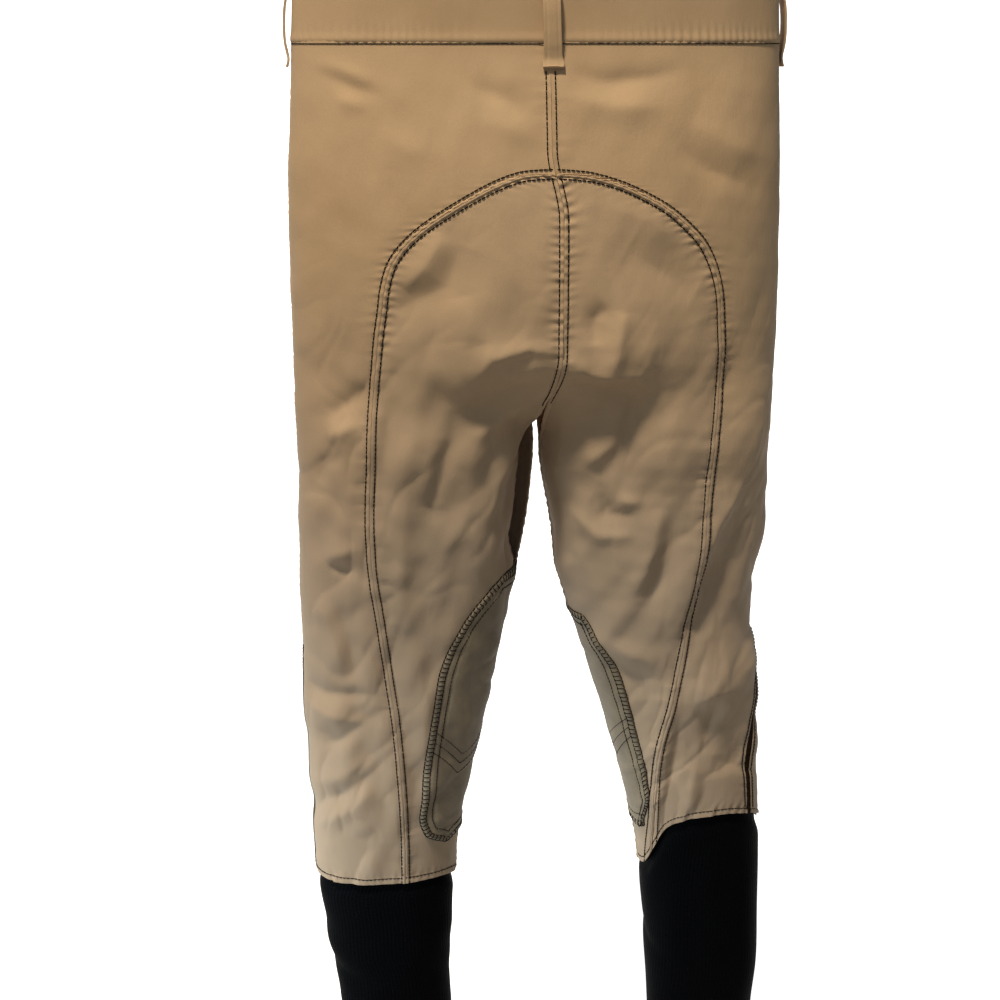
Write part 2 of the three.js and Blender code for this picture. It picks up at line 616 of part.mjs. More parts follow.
function build() {
  const group = new THREE.Group();
  group.name = 'riding_breeches';
  const add = (name, geometry, colour) => {
    const material = new THREE.MeshStandardMaterial({ color: COLOURS[colour], side: THREE.FrontSide });
    const mesh = new THREE.Mesh(geometry, material);
    mesh.name = name;
    group.add(mesh);
  };
  for (const [side, word] of [[LEFT, 'left'], [RIGHT, 'right']]) {
    add(`seat_panel_${word}`, seatPanel(side), 'cloth');
    add(`back_side_panel_${word}`, backSidePanel(side), 'cloth');
    add(`front_panel_${word}`, frontPanel(side), 'cloth');
    add(`side_insert_${word}`, sideInsert(side), 'insert');
    add(`knee_patch_${word}`, kneePatch(side), 'patch');
    add(`hem_facing_${word}`, hemFacing(side), 'facing');
    add(`sock_cuff_${word}`, sockCuff(side), 'sock');
    add(`waistband_front_${word}`, waistbandFront(side), 'cloth');
    add(`belt_loop_side_${word}`, beltLoop(side, 0.5), 'cloth');
    add(`belt_loop_front_${word}`, beltLoop(side, placeAtX(side, 96 * wide, -20, 'front')), 'cloth');
    add(`pocket_welt_${word}`, pocketWelt(side), 'cloth');
    add(`pocket_bag_${word}`, pocketBag(side), 'facing');
    add(`zip_tape_${word}`, zipTape(side), 'tape');
    add(`zip_teeth_${word}`, zipTeeth(side), 'metal');
  }
  add('waistband_back', waistbandBack(), 'cloth');
  add('waistband_facing', waistbandFacing(), 'facing');
  add('waistband_tab', waistbandTab(), 'cloth');
  add('waistband_underlap', waistbandUnderlap(), 'cloth');
  add('belt_loop_back', beltLoop(LEFT, 0), 'cloth');
  add('fly_flap', flyFlap(), 'cloth');
  add('fly_shield', flyShield(), 'facing');
  add('zip_slider', zipSlider(), 'metal');
  add('zip_pull', zipPull(), 'metal');
  add('zip_stop', zipStop(), 'metal');
  for (const [word, level] of Object.entries(HOOK_LEVELS)) {
    add(`hook_${word}`, hook(level), 'metal');
    add(`hook_bar_${word}`, hookBar(level), 'metal');
  }
  add('size_label', sizeLabel(), 'label');
  return group;
}

export default build();
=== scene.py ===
import math

import bpy
import numpy as np
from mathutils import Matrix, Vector


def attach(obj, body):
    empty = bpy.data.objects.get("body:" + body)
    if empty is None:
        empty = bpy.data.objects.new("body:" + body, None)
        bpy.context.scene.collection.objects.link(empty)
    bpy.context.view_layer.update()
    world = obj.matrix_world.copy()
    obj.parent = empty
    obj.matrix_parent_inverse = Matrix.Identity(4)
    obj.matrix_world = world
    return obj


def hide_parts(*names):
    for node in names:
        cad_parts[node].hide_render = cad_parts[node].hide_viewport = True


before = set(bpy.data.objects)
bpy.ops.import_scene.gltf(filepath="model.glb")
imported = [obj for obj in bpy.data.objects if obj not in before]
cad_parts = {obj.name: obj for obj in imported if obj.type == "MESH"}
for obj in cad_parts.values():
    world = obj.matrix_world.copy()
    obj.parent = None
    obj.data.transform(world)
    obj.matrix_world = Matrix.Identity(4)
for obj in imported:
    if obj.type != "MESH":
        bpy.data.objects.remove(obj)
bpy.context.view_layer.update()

MM = 0.001
LEFT, RIGHT = 1, -1
WORD = {LEFT: "left", RIGHT: "right"}
ROOT, FLY = "garment", "fly"

# ---------- the garment's surface, as in the CAD part ----------
CROTCH = -350.0
CROTCH_START = -262.0
HEM_LEVEL = -705.0
ROUND = 2 / 2.4
BAND_HEIGHT = 42.0
WAIST_FRONT = 48.0
FRONT_SLOPE = 10 / 180
HALF_WIDTH = [[0, 174.5], [-42, 177], [-80, 179.5], [-120, 182], [-160, 184], [-350, 185]]
BACK_DEPTH = [[0, 50], [-42, 52], [-80, 60], [-120, 68], [-160, 73], [-200, 75], [-240, 75], [-280, 73],
              [-320, 68], [-350, 62], [-420, 58], [-480, 52], [-560, 45], [-650, 40], [-705, 35],
              [-790, 36], [-940, 30]]
FRONT_DEPTH = [[-200, 59.1], [-240, 60], [-280, 60], [-320, 58], [-350, 55], [-420, 50], [-480, 47],
               [-560, 45], [-650, 42], [-705, 35], [-790, 34], [-940, 30]]
LEG_INNER = {
    LEFT: [[-350, 2.4], [-400, 7], [-470, 23], [-560, 42], [-690, 65], [-750, 70], [-940, 73]],
    RIGHT: [[-350, 2.4], [-400, 11], [-450, 19], [-525, 45], [-640, 78], [-690, 90], [-750, 96], [-940, 112]],
}
LEG_OUTER = {
    LEFT: [[-350, 185], [-460, 189], [-600, 186], [-690, 185], [-750, 179], [-840, 167], [-940, 157]],
    RIGHT: [[-350, 185], [-400, 186], [-475, 177], [-600, 190], [-690, 197], [-780, 201], [-940, 198]],
}
HEM = {
    LEFT: [[0, -714], [0.08, -708], [0.25, -705], [0.5, -704], [0.75, -702], [0.92, -708], [1, -714]],
    RIGHT: [[0, -716], [0.06, -711], [0.11, -692], [0.15, -674], [0.21, -662], [0.29, -658],
            [0.4, -667], [0.5, -682], [0.62, -694], [0.75, -702], [0.92, -712], [1, -716]],
}
SIDE_PLACE = {
    LEFT: [[-440, 0.5], [-705, 0.5]],
    RIGHT: [[-440, 0.5], [-500, 0.485], [-560, 0.43], [-610, 0.39], [-705, 0.375]],
}
SEAT_SEAM = {
    LEFT: [[0, -129], [14, -129.5], [28, -131.5], [50, -140], [78, -156], [99, -172], [112, -188],
           [118, -205], [121, -224], [124, -244], [127, -274], [130, -312], [132, -350], [133, -382],
           [132, -423], [127, -465], [121, -517], [117, -550], [114, -590], [112, -630], [111, -668],
           [111, -705]],
    RIGHT: [[0, -129], [14, -130], [28, -132], [50, -139], [78, -153], [96, -166], [110, -180],
            [119, -196], [125, -216], [128, -243], [130, -273], [128.5, -310], [126, -350],
            [124, -382], [122, -420], [116, -468], [110, -518], [105, -552], [99, -592], [97, -632],
            [97.5, -668], [99, -705]],
}
CENTRE_TIES = [-129.5, -135, -142, -153, -169, -186, -203, -220, -236, -252, -280, -314, -350, -382,
               -421, -466, -517, -551, -591, -631, -668, -705]
SIDE_TIES = [-118, -128, -138, -150, -164, -178, -192, -208, -226, -248, -280, -314, -350, -382, -421,
             -466, -517, -551, -591, -631, -668, -705]
PATCH_BACK = {
    LEFT: [[-438, 30], [-453, 47], [-478, 66], [-505, 79], [-545, 87], [-622, 96], [-655, 96],
           [-664, 91], [-672, 76]],
    RIGHT: [[-478, 34], [-514, 58], [-545, 70], [-580, 79], [-640, 91], [-665, 93], [-672, 90],
            [-675, 87]],
}
PATCH_RISE = 9.0
LADDER, PATCH_ROW = 5.0, 10.5
CHEVRON_POINT = {LEFT: 0.58, RIGHT: 0.05}


def smooth(x):
    c = np.clip(x, 0, 1)
    return c * c * (3 - 2 * c)


def look(table, at):
    """Smooth curve through the rows of a table, at one value or an array of them."""
    rows = np.array(sorted(table), float)
    xs, ys = rows[:, 0], rows[:, 1]
    slope = np.gradient(ys, xs)
    at = np.clip(np.asarray(at, float), xs[0], xs[-1])
    k = np.clip(np.searchsorted(xs, at) - 1, 0, len(xs) - 2)
    h = xs[k + 1] - xs[k]
    f = (at - xs[k]) / h
    f2, f3 = f * f, f * f * f
    return ((2 * f3 - 3 * f2 + 1) * ys[k] + (f3 - 2 * f2 + f) * h * slope[k]
            + (3 * f2 - 2 * f3) * ys[k + 1] + (f3 - f2) * h * slope[k + 1])


def along(values, count):
    """A smooth curve through evenly placed values."""
    return look(list(enumerate(values)), np.linspace(0, len(values) - 1, count))


def power(v, p):
    return np.sign(v) * np.abs(v) ** p


def bell(distance, width):
    return np.exp(-(distance / width) ** 2)


def run_length(points, axis=0):
    """Distance run along a path, or along one way of a grid, of points."""
    steps = np.linalg.norm(np.diff(points, axis=axis), axis=-1)
    return np.insert(np.cumsum(steps, axis), 0, 0, axis)


def back_depth(z):
    return look(BACK_DEPTH, z)


def front_depth(z):
    return np.where(z > -200, WAIST_FRONT - FRONT_SLOPE * z, look(FRONT_DEPTH, z))


def section(side, t, z):
    """x (away from the middle) and y of the surface at place t and level z."""
    sine, cosine = np.sin(np.pi * np.clip(t, 0, 1)) ** ROUND, power(np.cos(np.pi * t), ROUND)
    depth = np.where(cosine > 0, back_depth(z), front_depth(z))
    torso = np.stack([look(HALF_WIDTH, z) * sine, depth * cosine], -1)
    cos2, sin2 = power(np.cos(2 * np.pi * t), ROUND), power(np.sin(2 * np.pi * t), ROUND)
    depth = np.where(sin2 > 0, back_depth(z), front_depth(z))
    low = np.minimum(z, CROTCH)
    inner, outer = look(LEG_INNER[side], low), look(LEG_OUTER[side], low)
    leg = np.stack([inner + (outer - inner) * (0.5 - 0.5 * cos2), depth * sin2], -1)
    turned = smooth((CROTCH_START - z) / (CROTCH_START - CROTCH))[..., None]
    return torso + (leg - torso) * turned


def hung_level(side, t, z):
    shift = look(HEM[side], t) - HEM_LEVEL
    return z + shift * smooth((-560 - z) / 145) * (1 - smooth((HEM_LEVEL - z) / 120))


def surface(side, t, z):
    """Points of the smooth outer surface."""
    t, z = np.broadcast_arrays(np.asarray(t, float), np.asarray(z, float))
    level = hung_level(side, t, z)
    xy = section(side, t, level)
    return np.stack([side * np.maximum(xy[..., 0], 0.12), xy[..., 1], level], -1)


def unit(v):
    return v / np.maximum(np.linalg.norm(v, axis=-1, keepdims=True), 1e-9)


def grid_normals(grid, side):
    """Outward normals of a grid whose rows go down and whose columns go round from the back."""
    across = np.gradient(grid, axis=1)
    down = np.gradient(grid, axis=0)
    return unit(np.cross(across, down) * side)


# ---------- folds ----------
FOLD_SHARPNESS = 1.55


def ridge(x, z, line, height, width, skew=1.0, ends=0.6):
    """A soft ridge (or with minus height a valley) along a line of (x, z) points."""
    best = np.full(x.shape, 1e9)
    off = np.zeros_like(x)
    along = np.zeros_like(x)
    line = np.asarray(line, float)
    sizes = np.hypot(*np.diff(line, axis=0).T)
    start = np.concatenate([[0], np.cumsum(sizes)])
    for k, size in enumerate(sizes):
        ax, az = line[k]
        dx, dz = (line[k + 1] - line[k]) / size
        run = np.clip((x - ax) * dx + (z - az) * dz, 0, size)
        ex, ez = x - ax - run * dx, z - az - run * dz
        gap = np.hypot(ex, ez)
        nearer = gap < best
        best = np.where(nearer, gap, best)
        off = np.where(nearer, ex * dz - ez * dx, off)
        along = np.where(nearer, (start[k] + run) / start[-1], along)
    wide = np.where(off > 0, width * skew, width / skew)
    taper = np.sin(np.pi * np.clip(along, 0.02, 0.98)) ** ends
    return height * taper * np.exp(-(best / wide) ** FOLD_SHARPNESS)


def turn_in(x, z, line, depth, width):
    """The cloth falls away beyond a line of (x, z) points, on the inseam side of it."""
    line = np.array(sorted(line, key=lambda point: point[1]), float)
    beyond = np.interp(z, line[:, 1], line[:, 0]) - np.abs(x)
    level = (z - line[0, 1]) / (line[-1, 1] - line[0, 1])
    return -depth * smooth(beyond / width) * smooth(level * 4) * smooth((1 - level) * 4)


def waves(a, b, seed, scale, octaves=3):
    """Smooth seeded noise, about -1 to 1, from sums of sine waves."""
    draw = np.random.default_rng(seed)
    total = np.zeros_like(a)
    for octave in range(octaves):
        size = scale / 1.9 ** octave
        for _ in range(5):
            angle, phase = draw.uniform(0, 2 * np.pi, 2)
            pull = draw.uniform(0.75, 1.3)
            run = a * np.cos(angle) + b * np.sin(angle)
            total += np.sin(run * 2 * np.pi / size * pull + phase) / 1.7 ** octave
    return total / 4.2


def creases(a, b, seed, scale):
    """Crumpled cloth: sharp valleys between soft cells, about -1 to 0."""
    bent_a = a + 0.4 * scale * waves(a, b, seed + 1, 1.8 * scale, 2)
    bent_b = b + 0.4 * scale * waves(a, b, seed + 2, 1.8 * scale, 2)
    return -np.exp(-np.abs(waves(bent_a, bent_b, seed, scale, 2)) * 4.5)


# Folds of the back: points (x, z), height, half width and, where it isn't 1, the skew. x is the real
# x, minus on the right.
BACK_FOLDS = [
    # under the waistband
    ([(161, -52), (136, -62), (121, -69)], 2.4, 6),
    ([(161, -60), (134, -71), (118, -77)], -2.0, 5),
    ([(146, -79), (127, -85)], 1.6, 5),
    ([(55, -69), (30, -79), (18, -91)], -2.6, 8),
    ([(50, -92), (26, -100), (8, -104)], 1.6, 9),
    ([(-14, -60), (-39, -67), (-72, -64), (-95, -58)], -3.5, 7),
    ([(-14, -79), (-45, -85), (-80, -85)], 2.6, 8, 0.8),
    ([(-90, -110), (-115, -128), (-147, -140)], -2.5, 9),
    ([(-100, -96), (-130, -112), (-156, -120)], 1.6, 9),
    ([(120, -100), (100, -112), (84, -118)], 1.4, 9),
    # hollows and fullness of the seat
    ([(78, -170), (91, -192), (107, -208)], 3.4, 9, 0.8),
    ([(66, -176), (78, -206), (114, -224)], -3.4, 13, 1.2),
    ([(68, -212), (58, -248)], 2.2, 12),
    ([(57, -170), (40, -190), (22, -215)], 1.6, 12),
    ([(-48, -180), (-77, -198), (-106, -215)], -4.0, 18, 1.2),
    ([(-30, -150), (-60, -160), (-92, -178)], 1.8, 12),
    ([(90, -190), (50, -214), (6, -222)], 3.0, 34),
    ([(-24, -250), (-24, -231), (-34, -221)], -4.0, 8),
    ([(-47, -225), (-41, -257), (-38, -270)], 3.4, 8, 0.8),
    ([(-74, -232), (-66, -262), (-70, -290)], 1.8, 10),
    # where the seat turns under
    ([(4, -254), (25, -250), (48, -257), (62, -277)], 4.0, 7, 0.8),
    ([(90, -246), (40, -262), (4, -266)], 4.0, 32, 0.8),
    ([(-84, -246), (-40, -262), (-4, -266)], 4.0, 30, 0.7),
    ([(3, -272), (30, -280), (64, -300)], -4.0, 7),
    ([(4, -290), (30, -300), (58, -322)], 3.5, 6),
    ([(6, -306), (30, -326), (50, -352)], -3.5, 7),
    ([(-9, -262), (-21, -270), (-60, -274), (-71, -288)], 4.0, 6, 0.8),
    ([(-9, -277), (-35, -284), (-61, -291)], -4.5, 7, 1.2),
    ([(30, -304), (52, -322), (60, -346)], 2.4, 10),
    # left leg
    ([(133, -280), (148, -292), (162, -303)], -4.0, 7),
    ([(139, -308), (163, -319)], 3.5, 6),
    ([(150, -330), (166, -340), (172, -356)], -2.4, 7),
    ([(116, -294), (121, -328), (126, -386)], -3.5, 8),
    ([(101, -309), (106, -366), (111, -432), (108, -480)], 4.0, 11, 0.9),
    ([(73, -294), (70, -320), (88, -370), (78, -386)], -4.0, 8),
    ([(84, -321), (92, -358), (96, -380)], 3.0, 7),
    ([(58, -372), (66, -396), (80, -410)], 2.0, 7),
    ([(142, -403), (168, -417)], 2.6, 6),
    ([(143, -424), (165, -420)], -2.6, 6),
    ([(170, -452), (160, -489), (157, -514)], 3.0, 7),
    ([(161, -452), (150, -486), (148, -520)], -3.0, 7),
    ([(98, -500), (92, -540), (96, -590)], 2.2, 9),
    ([(187, -527), (172, -531), (131, -528)], -4.0, 7),
    ([(187, -543), (160, -550), (132, -556)], 3.0, 7, 0.8),
    ([(190, -573), (174, -578), (150, -560), (128, -543)], -3.4, 7),
    ([(188, -618), (160, -602), (134, -583)], 3.0, 8, 0.8),
    ([(187, -638), (160, -618), (134, -598)], -3.0, 7),
    ([(186, -658), (160, -636), (134, -613)], 3.0, 8, 0.8),
    ([(168, -690), (150, -668), (132, -650)], -2.0, 7),
    # right leg
    ([(-58, -294), (-50, -328), (-29, -348)], 4.5, 8, 0.7),
    ([(-63, -280), (-59, -320), (-50, -345), (-40, -360)], -5.0, 9),
    ([(-96, -300), (-90, -334), (-94, -366)], 2.4, 10),
    ([(-23, -386), (-44, -403), (-68, -401)], 3.4, 6, 0.8),
    ([(-43, -367), (-47, -386), (-68, -386)], -3.4, 6),
    ([(-54, -372), (-73, -376)], 2.4, 5),
    ([(-155, -362), (-134, -397), (-121, -436), (-110, -468), (-102, -502)], 5.5, 10, 0.55),
    ([(-164, -384), (-147, -417), (-131, -459), (-120, -494)], -6.0, 11),
    ([(-89, -378), (-83, -413), (-70, -452)], 4.0, 8, 0.8),
    ([(-99, -384), (-94, -425), (-81, -459)], -4.0, 8),
    ([(-46, -494), (-72, -506), (-94, -510)], 3.0, 8, 0.8),
    ([(-50, -512), (-76, -526), (-98, -530)], -2.4, 8),
    ([(-148, -506), (-148, -540), (-118, -549)], 3.4, 8, 0.8),
    ([(-144, -549), (-134, -592), (-124, -614)], -4.5, 10),
    ([(-188, -516), (-150, -532), (-112, -540)], 7.0, 30, 1.3),
    ([(-160, -560), (-162, -620), (-160, -680)], -4.0, 20),
    ([(-106, -540), (-100, -620), (-101, -696)], 3.5, 9),
    ([(-113, -556), (-109, -620), (-110, -690)], -3.5, 6),
    ([(-132, -580), (-126, -632), (-122, -660)], 3.0, 8),
    ([(-150, -600), (-138, -640), (-118, -672)], -2.6, 8),
    ([(-176, -600), (-160, -628), (-134, -676)], 2.6, 8, 0.8),
]
# Folds of the front, drawn the same way. The first four are on both sides.
FRONT_PAIRS = [
    ([(60, -250), (30, -276), (8, -300)], 3.0, 10, 0.8),
    ([(90, -262), (50, -292), (16, -322)], -3.2, 12),
    ([(120, -280), (80, -316), (44, -350)], 2.2, 12, 0.8),
    ([(120, -120), (100, -180), (96, -240)], -1.6, 18),
]
FRONT_FOLDS = FRONT_PAIRS + [([(-x, z) for x, z in line], *rest) for line, *rest in FRONT_PAIRS] + [
    ([(150, -430), (120, -452), (80, -460)], 2.6, 10, 0.8),
    ([(160, -462), (126, -484), (84, -492)], -2.8, 11),
    ([(150, -500), (120, -520), (84, -524)], 2.2, 10, 0.8),
    ([(-150, -420), (-110, -446), (-60, -456)], 3.0, 10, 0.8),
    ([(-160, -456), (-120, -480), (-70, -492)], -3.2, 11),
    ([(-160, -500), (-120, -520), (-84, -530)], 2.4, 10, 0.8),
    ([(130, -560), (126, -620), (132, -690)], 1.8, 12),
    ([(-150, -560), (-142, -620), (-150, -690)], 1.8, 12),
]
# The left leg's cloth turns in beyond this line, and shows as a dark edge beside the gap.
LEFT_TURN = [(4, -300), (25, -338), (38, -362), (43, -386), (39, -424), (34, -450)]
TURN_DEPTH, TURN_WIDTH = 12, 24
OTHER_SIDE = -30
BACK_ENDS = 0.56


def folds_of(side, folds, x, z):
    """Heights of the folds that lie on one side."""
    own = [fold for fold in folds if min(point[0] * side for point in fold[0]) > OTHER_SIDE]
    return sum(ridge(x, z, *fold) for fold in own)


def crumple(side, x, z):
    """Seeded waves and creases, stronger down the legs."""
    worn = smooth((-170 - z) / 200)
    total = waves(x * 1.3, z * 0.55, 11 + side, 95) * (0.8 + worn)
    total = total + waves(x, z, 31 + side, 34, 2) * (0.2 + 0.4 * worn)
    worn = worn * (0.6 + 0.4 * waves(x, z, 91 + side, 150, 1))
    total = total + creases(x + 0.35 * z, z * 0.6, 51 + side, 70) * 1.5 * (0.1 + worn)
    return total + creases(x * 1.3 - 0.3 * z, z * 0.7, 71 + side, 32) * 0.4 * worn


def fold_heights(side, t, level, grid):
    x, z = grid[..., 0], grid[..., 2]
    behind = smooth((BACK_ENDS - t) / 0.1)
    back = folds_of(side, BACK_FOLDS, x, z)
    front = folds_of(side, FRONT_FOLDS, x, z)
    drape = crumple(side, x, z)
    if side == LEFT:
        back = back + turn_in(x, z, LEFT_TURN, TURN_DEPTH, TURN_WIDTH)
    low = smooth((-40 - z) / 40)
    flat_fly = 1 - smooth((z + 190) / 20) * smooth((np.abs(t) - 0.84) / 0.05)
    total = (back * behind + (1.4 * front + 0.6 * drape) * (1 - behind) + drape * behind) * low * flat_fly
    return np.maximum(total, -0.8 - 12 * smooth((level + 662) / 60))


# ---------- master grids ----------
PLACES = np.linspace(0, 1, 401)
STEP = 2.0
LEVELS = np.arange(0, HEM_LEVEL - STEP, -STEP)
# The centre-back seam hangs a little to the wearer's right between these levels.
SEAM_DRIFT, DRIFT_REACH = 8.0, 75
DRIFT_TOP, DRIFT_FOOT = -112, -255


def master_grid(side):
    t, z = np.meshgrid(PLACES, LEVELS)
    grid = surface(side, t, z)
    normals = grid_normals(grid, side)
    heights = fold_heights(side, t, z, grid)
    grid = grid + normals * heights[..., None]
    drift = SEAM_DRIFT * smooth((DRIFT_TOP - z) / 48) * (1 - smooth((DRIFT_FOOT - z) / 60))
    grid[..., 0] -= drift * bell(grid[..., 0], DRIFT_REACH) * smooth((0.45 - t) / 0.1)
    return grid, grid_normals(grid, side)


MASTER = {side: master_grid(side) for side in (LEFT, RIGHT)}


def grid_row(z):
    return np.clip(-z / STEP, 0, len(LEVELS) - 1.001)


def sample(side, t, z):
    """Points and normals of the folded surface."""
    t, z = np.broadcast_arrays(np.asarray(t, float), np.asarray(z, float))
    t = np.where(t < 0, t + 1, np.where(t > 1, t - 1, t))
    grid, normals = MASTER[side]
    col = np.clip(t, 0, 1) * (len(PLACES) - 1)
    row = grid_row(z)
    i = np.clip(col.astype(int), 0, len(PLACES) - 2)
    j = row.astype(int)
    f, g = (col - i)[..., None], (row - j)[..., None]

    def mixed(a):
        return ((a[j, i] * (1 - f) + a[j, i + 1] * f) * (1 - g)
                + (a[j + 1, i] * (1 - f) + a[j + 1, i + 1] * f) * g)

    return mixed(grid), unit(mixed(normals))


HALF_STEPS = 300
HALVES = {"back": 0, "front": 1}


def reach(side, start):
    """How far out the surface is at each level, from the middle to the side."""
    places = np.linspace(start, 0.5, HALF_STEPS)[None, :]
    return side * surface(side, places, LEVELS[:, None])[..., 0]


REACH = {(side, half): reach(side, HALVES[half]) for side in (LEFT, RIGHT) for half in HALVES}


def place_at_x(side, x, z, half="back"):
    """The place round the back (or front) where the surface reaches x at each level."""
    x, z = np.broadcast_arrays(np.asarray(x, float), np.asarray(z, float))
    table = REACH[side, half]
    row = grid_row(z)
    out = np.empty(x.shape)
    for k in np.ndindex(x.shape):
        j = int(row[k])
        g = row[k] - j
        xs = np.maximum.accumulate(table[j] * (1 - g) + table[j + 1] * g)
        share = np.interp(x[k], xs, np.linspace(0, 0.5, HALF_STEPS))
        out[k] = share if half == "back" else 1 - share
    return out


# ---------- meshes ----------
def make_object(name, points, faces, material, cloth=None, sharp=50):
    mesh = bpy.data.meshes.new(name)
    mesh.from_pydata((np.asarray(points) * MM).tolist(), [], faces)
    mesh.validate()
    mesh.polygons.foreach_set("use_smooth", [True] * len(mesh.polygons))
    if sharp:
        mesh.set_sharp_from_angle(angle=math.radians(sharp))
    if cloth is not None:
        layer = mesh.attributes.new("cloth", "FLOAT_VECTOR", "POINT")
        layer.data.foreach_set("vector", np.asarray(cloth, float).ravel())
    mesh.materials.append(material)
    obj = bpy.data.objects.new(name, mesh)
    bpy.context.scene.collection.objects.link(obj)
    return obj


def sheet_faces(rows, cols, closed):
    across = cols if closed else cols - 1
    half = rows * cols
    i, j = np.meshgrid(np.arange(across), np.arange(rows - 1))
    a = j * cols + i
    b = j * cols + (i + 1) % cols
    c, d = b + cols, a + cols
    outer = np.stack([a, b, c, d], -1).reshape(-1, 4)
    inner = np.stack([a, d, c, b], -1).reshape(-1, 4) + half
    i = np.arange(across)
    n = (i + 1) % cols
    last = (rows - 1) * cols
    rims = [np.stack([n, i, i + half, n + half], -1),
            np.stack([last + i, last + n, last + n + half, last + i + half], -1)]
    if not closed:
        j = np.arange(rows - 1) * cols
        e = j + cols - 1
        rims.append(np.stack([j, j + cols, j + cols + half, j + half], -1))
        rims.append(np.stack([e + cols, e, e + half, e + cols + half], -1))
    return np.concatenate([outer, inner] + rims)


def closed_sheet(name, outer, inner, material, closed=False, flip=False, cloth=None):
    rows, cols = outer.shape[:2]
    faces = sheet_faces(rows, cols, closed)
    if flip:
        faces = faces[:, ::-1]
    points = np.concatenate([outer.reshape(-1, 3), inner.reshape(-1, 3)])
    if cloth is None:
        across, down = run_length(outer, 1), run_length(outer)
        cloth = np.stack([across - across[:, cols // 2:cols // 2 + 1], down, np.zeros_like(across)], -1) * MM
    cloth = np.concatenate([cloth.reshape(-1, 3)] * 2)
    return make_object(name, points, faces.tolist(), material, cloth)


def spread(count, edge=0.5):
    """0 to 1 with closer steps at both ends."""
    w = np.linspace(0, 1, count)
    return (1 - edge) * w + edge * (0.5 - 0.5 * np.cos(np.pi * w))


def place_piece(obj, body, node=None):
    """Tie a piece to its body, and hide the CAD node that it replaces, if any."""
    if node:
        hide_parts(node)
    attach(obj, body)


# ---------- node materials ----------
def new_material(name):
    material = bpy.data.materials.new(name)
    material.use_nodes = True
    tree = material.node_tree
    return material, tree, tree.nodes["Principled BSDF"]


def add_node(tree, kind, **inputs):
    node = tree.nodes.new(kind)
    for key, value in inputs.items():
        if key in node.inputs:
            node.inputs[key].default_value = value
        else:
            setattr(node, key, value)
    return node


def cloth_coords(tree):
    return add_node(tree, "ShaderNodeAttribute", attribute_name="cloth").outputs["Vector"]


def scaled(tree, vector, scale, rotate=0.0):
    node = add_node(tree, "ShaderNodeMapping")
    node.inputs["Scale"].default_value = scale
    node.inputs["Rotation"].default_value = (0, 0, rotate)
    tree.links.new(vector, node.inputs["Vector"])
    return node.outputs["Vector"]


def noise(tree, vector, scale, detail=3.0, rough=0.6):
    node = add_node(tree, "ShaderNodeTexNoise", Scale=scale, Detail=detail, Roughness=rough)
    tree.links.new(vector, node.inputs["Vector"])
    return node.outputs["Fac"]


def ramp(tree, value, stops):
    node = add_node(tree, "ShaderNodeValToRGB")
    for k, (place, colour) in enumerate(stops):
        element = node.color_ramp.elements[k] if k < 2 else node.color_ramp.elements.new(place)
        element.position = place
        element.color = (*colour, 1) if len(colour) == 3 else colour
    tree.links.new(value, node.inputs["Fac"])
    return node.outputs["Color"]


def math_node(tree, kind, a, b):
    node = add_node(tree, "ShaderNodeMath", operation=kind)
    for k, value in enumerate((a, b)):
        if isinstance(value, (int, float)):
            node.inputs[k].default_value = value
        else:
            tree.links.new(value, node.inputs[k])
    return node.outputs[0]


def mix_colours(tree, factor, a, b, kind="MIX"):
    node = add_node(tree, "ShaderNodeMix", data_type="RGBA", blend_type=kind)
    for socket, value in ((node.inputs["Factor"], factor), (node.inputs[6], a), (node.inputs[7], b)):
        if isinstance(value, (int, float)):
            socket.default_value = value
        elif isinstance(value, tuple):
            socket.default_value = (*value, 1) if len(value) == 3 else value
        else:
            tree.links.new(value, socket)
    return node.outputs[2]


def grey(value):
    return (value, value, value)


def set_inputs(shader, values):
    for name, value in values.items():
        shader.inputs[name].default_value = value


def bump(tree, height, strength, distance, under=None):
    node = add_node(tree, "ShaderNodeBump", Strength=strength, Distance=distance)
    tree.links.new(height, node.inputs["Height"])
    if under is not None:
        tree.links.new(under, node.inputs["Normal"])
    return node.outputs["Normal"]


def wave(tree, vector, scale, distortion=0.0):
    node = add_node(tree, "ShaderNodeTexWave", Scale=scale, Distortion=distortion)
    tree.links.new(vector, node.inputs["Vector"])
    return node.outputs["Fac"]


def fade(tree, value, start, end):
    """1 below start, 0 above end."""
    node = add_node(tree, "ShaderNodeMapRange", interpolation_type="SMOOTHSTEP")
    tree.links.new(value, node.inputs["Value"])
    set_inputs(node, {"From Min": start, "From Max": end, "To Min": 1.0, "To Max": 0.0})
    return node.outputs["Result"]


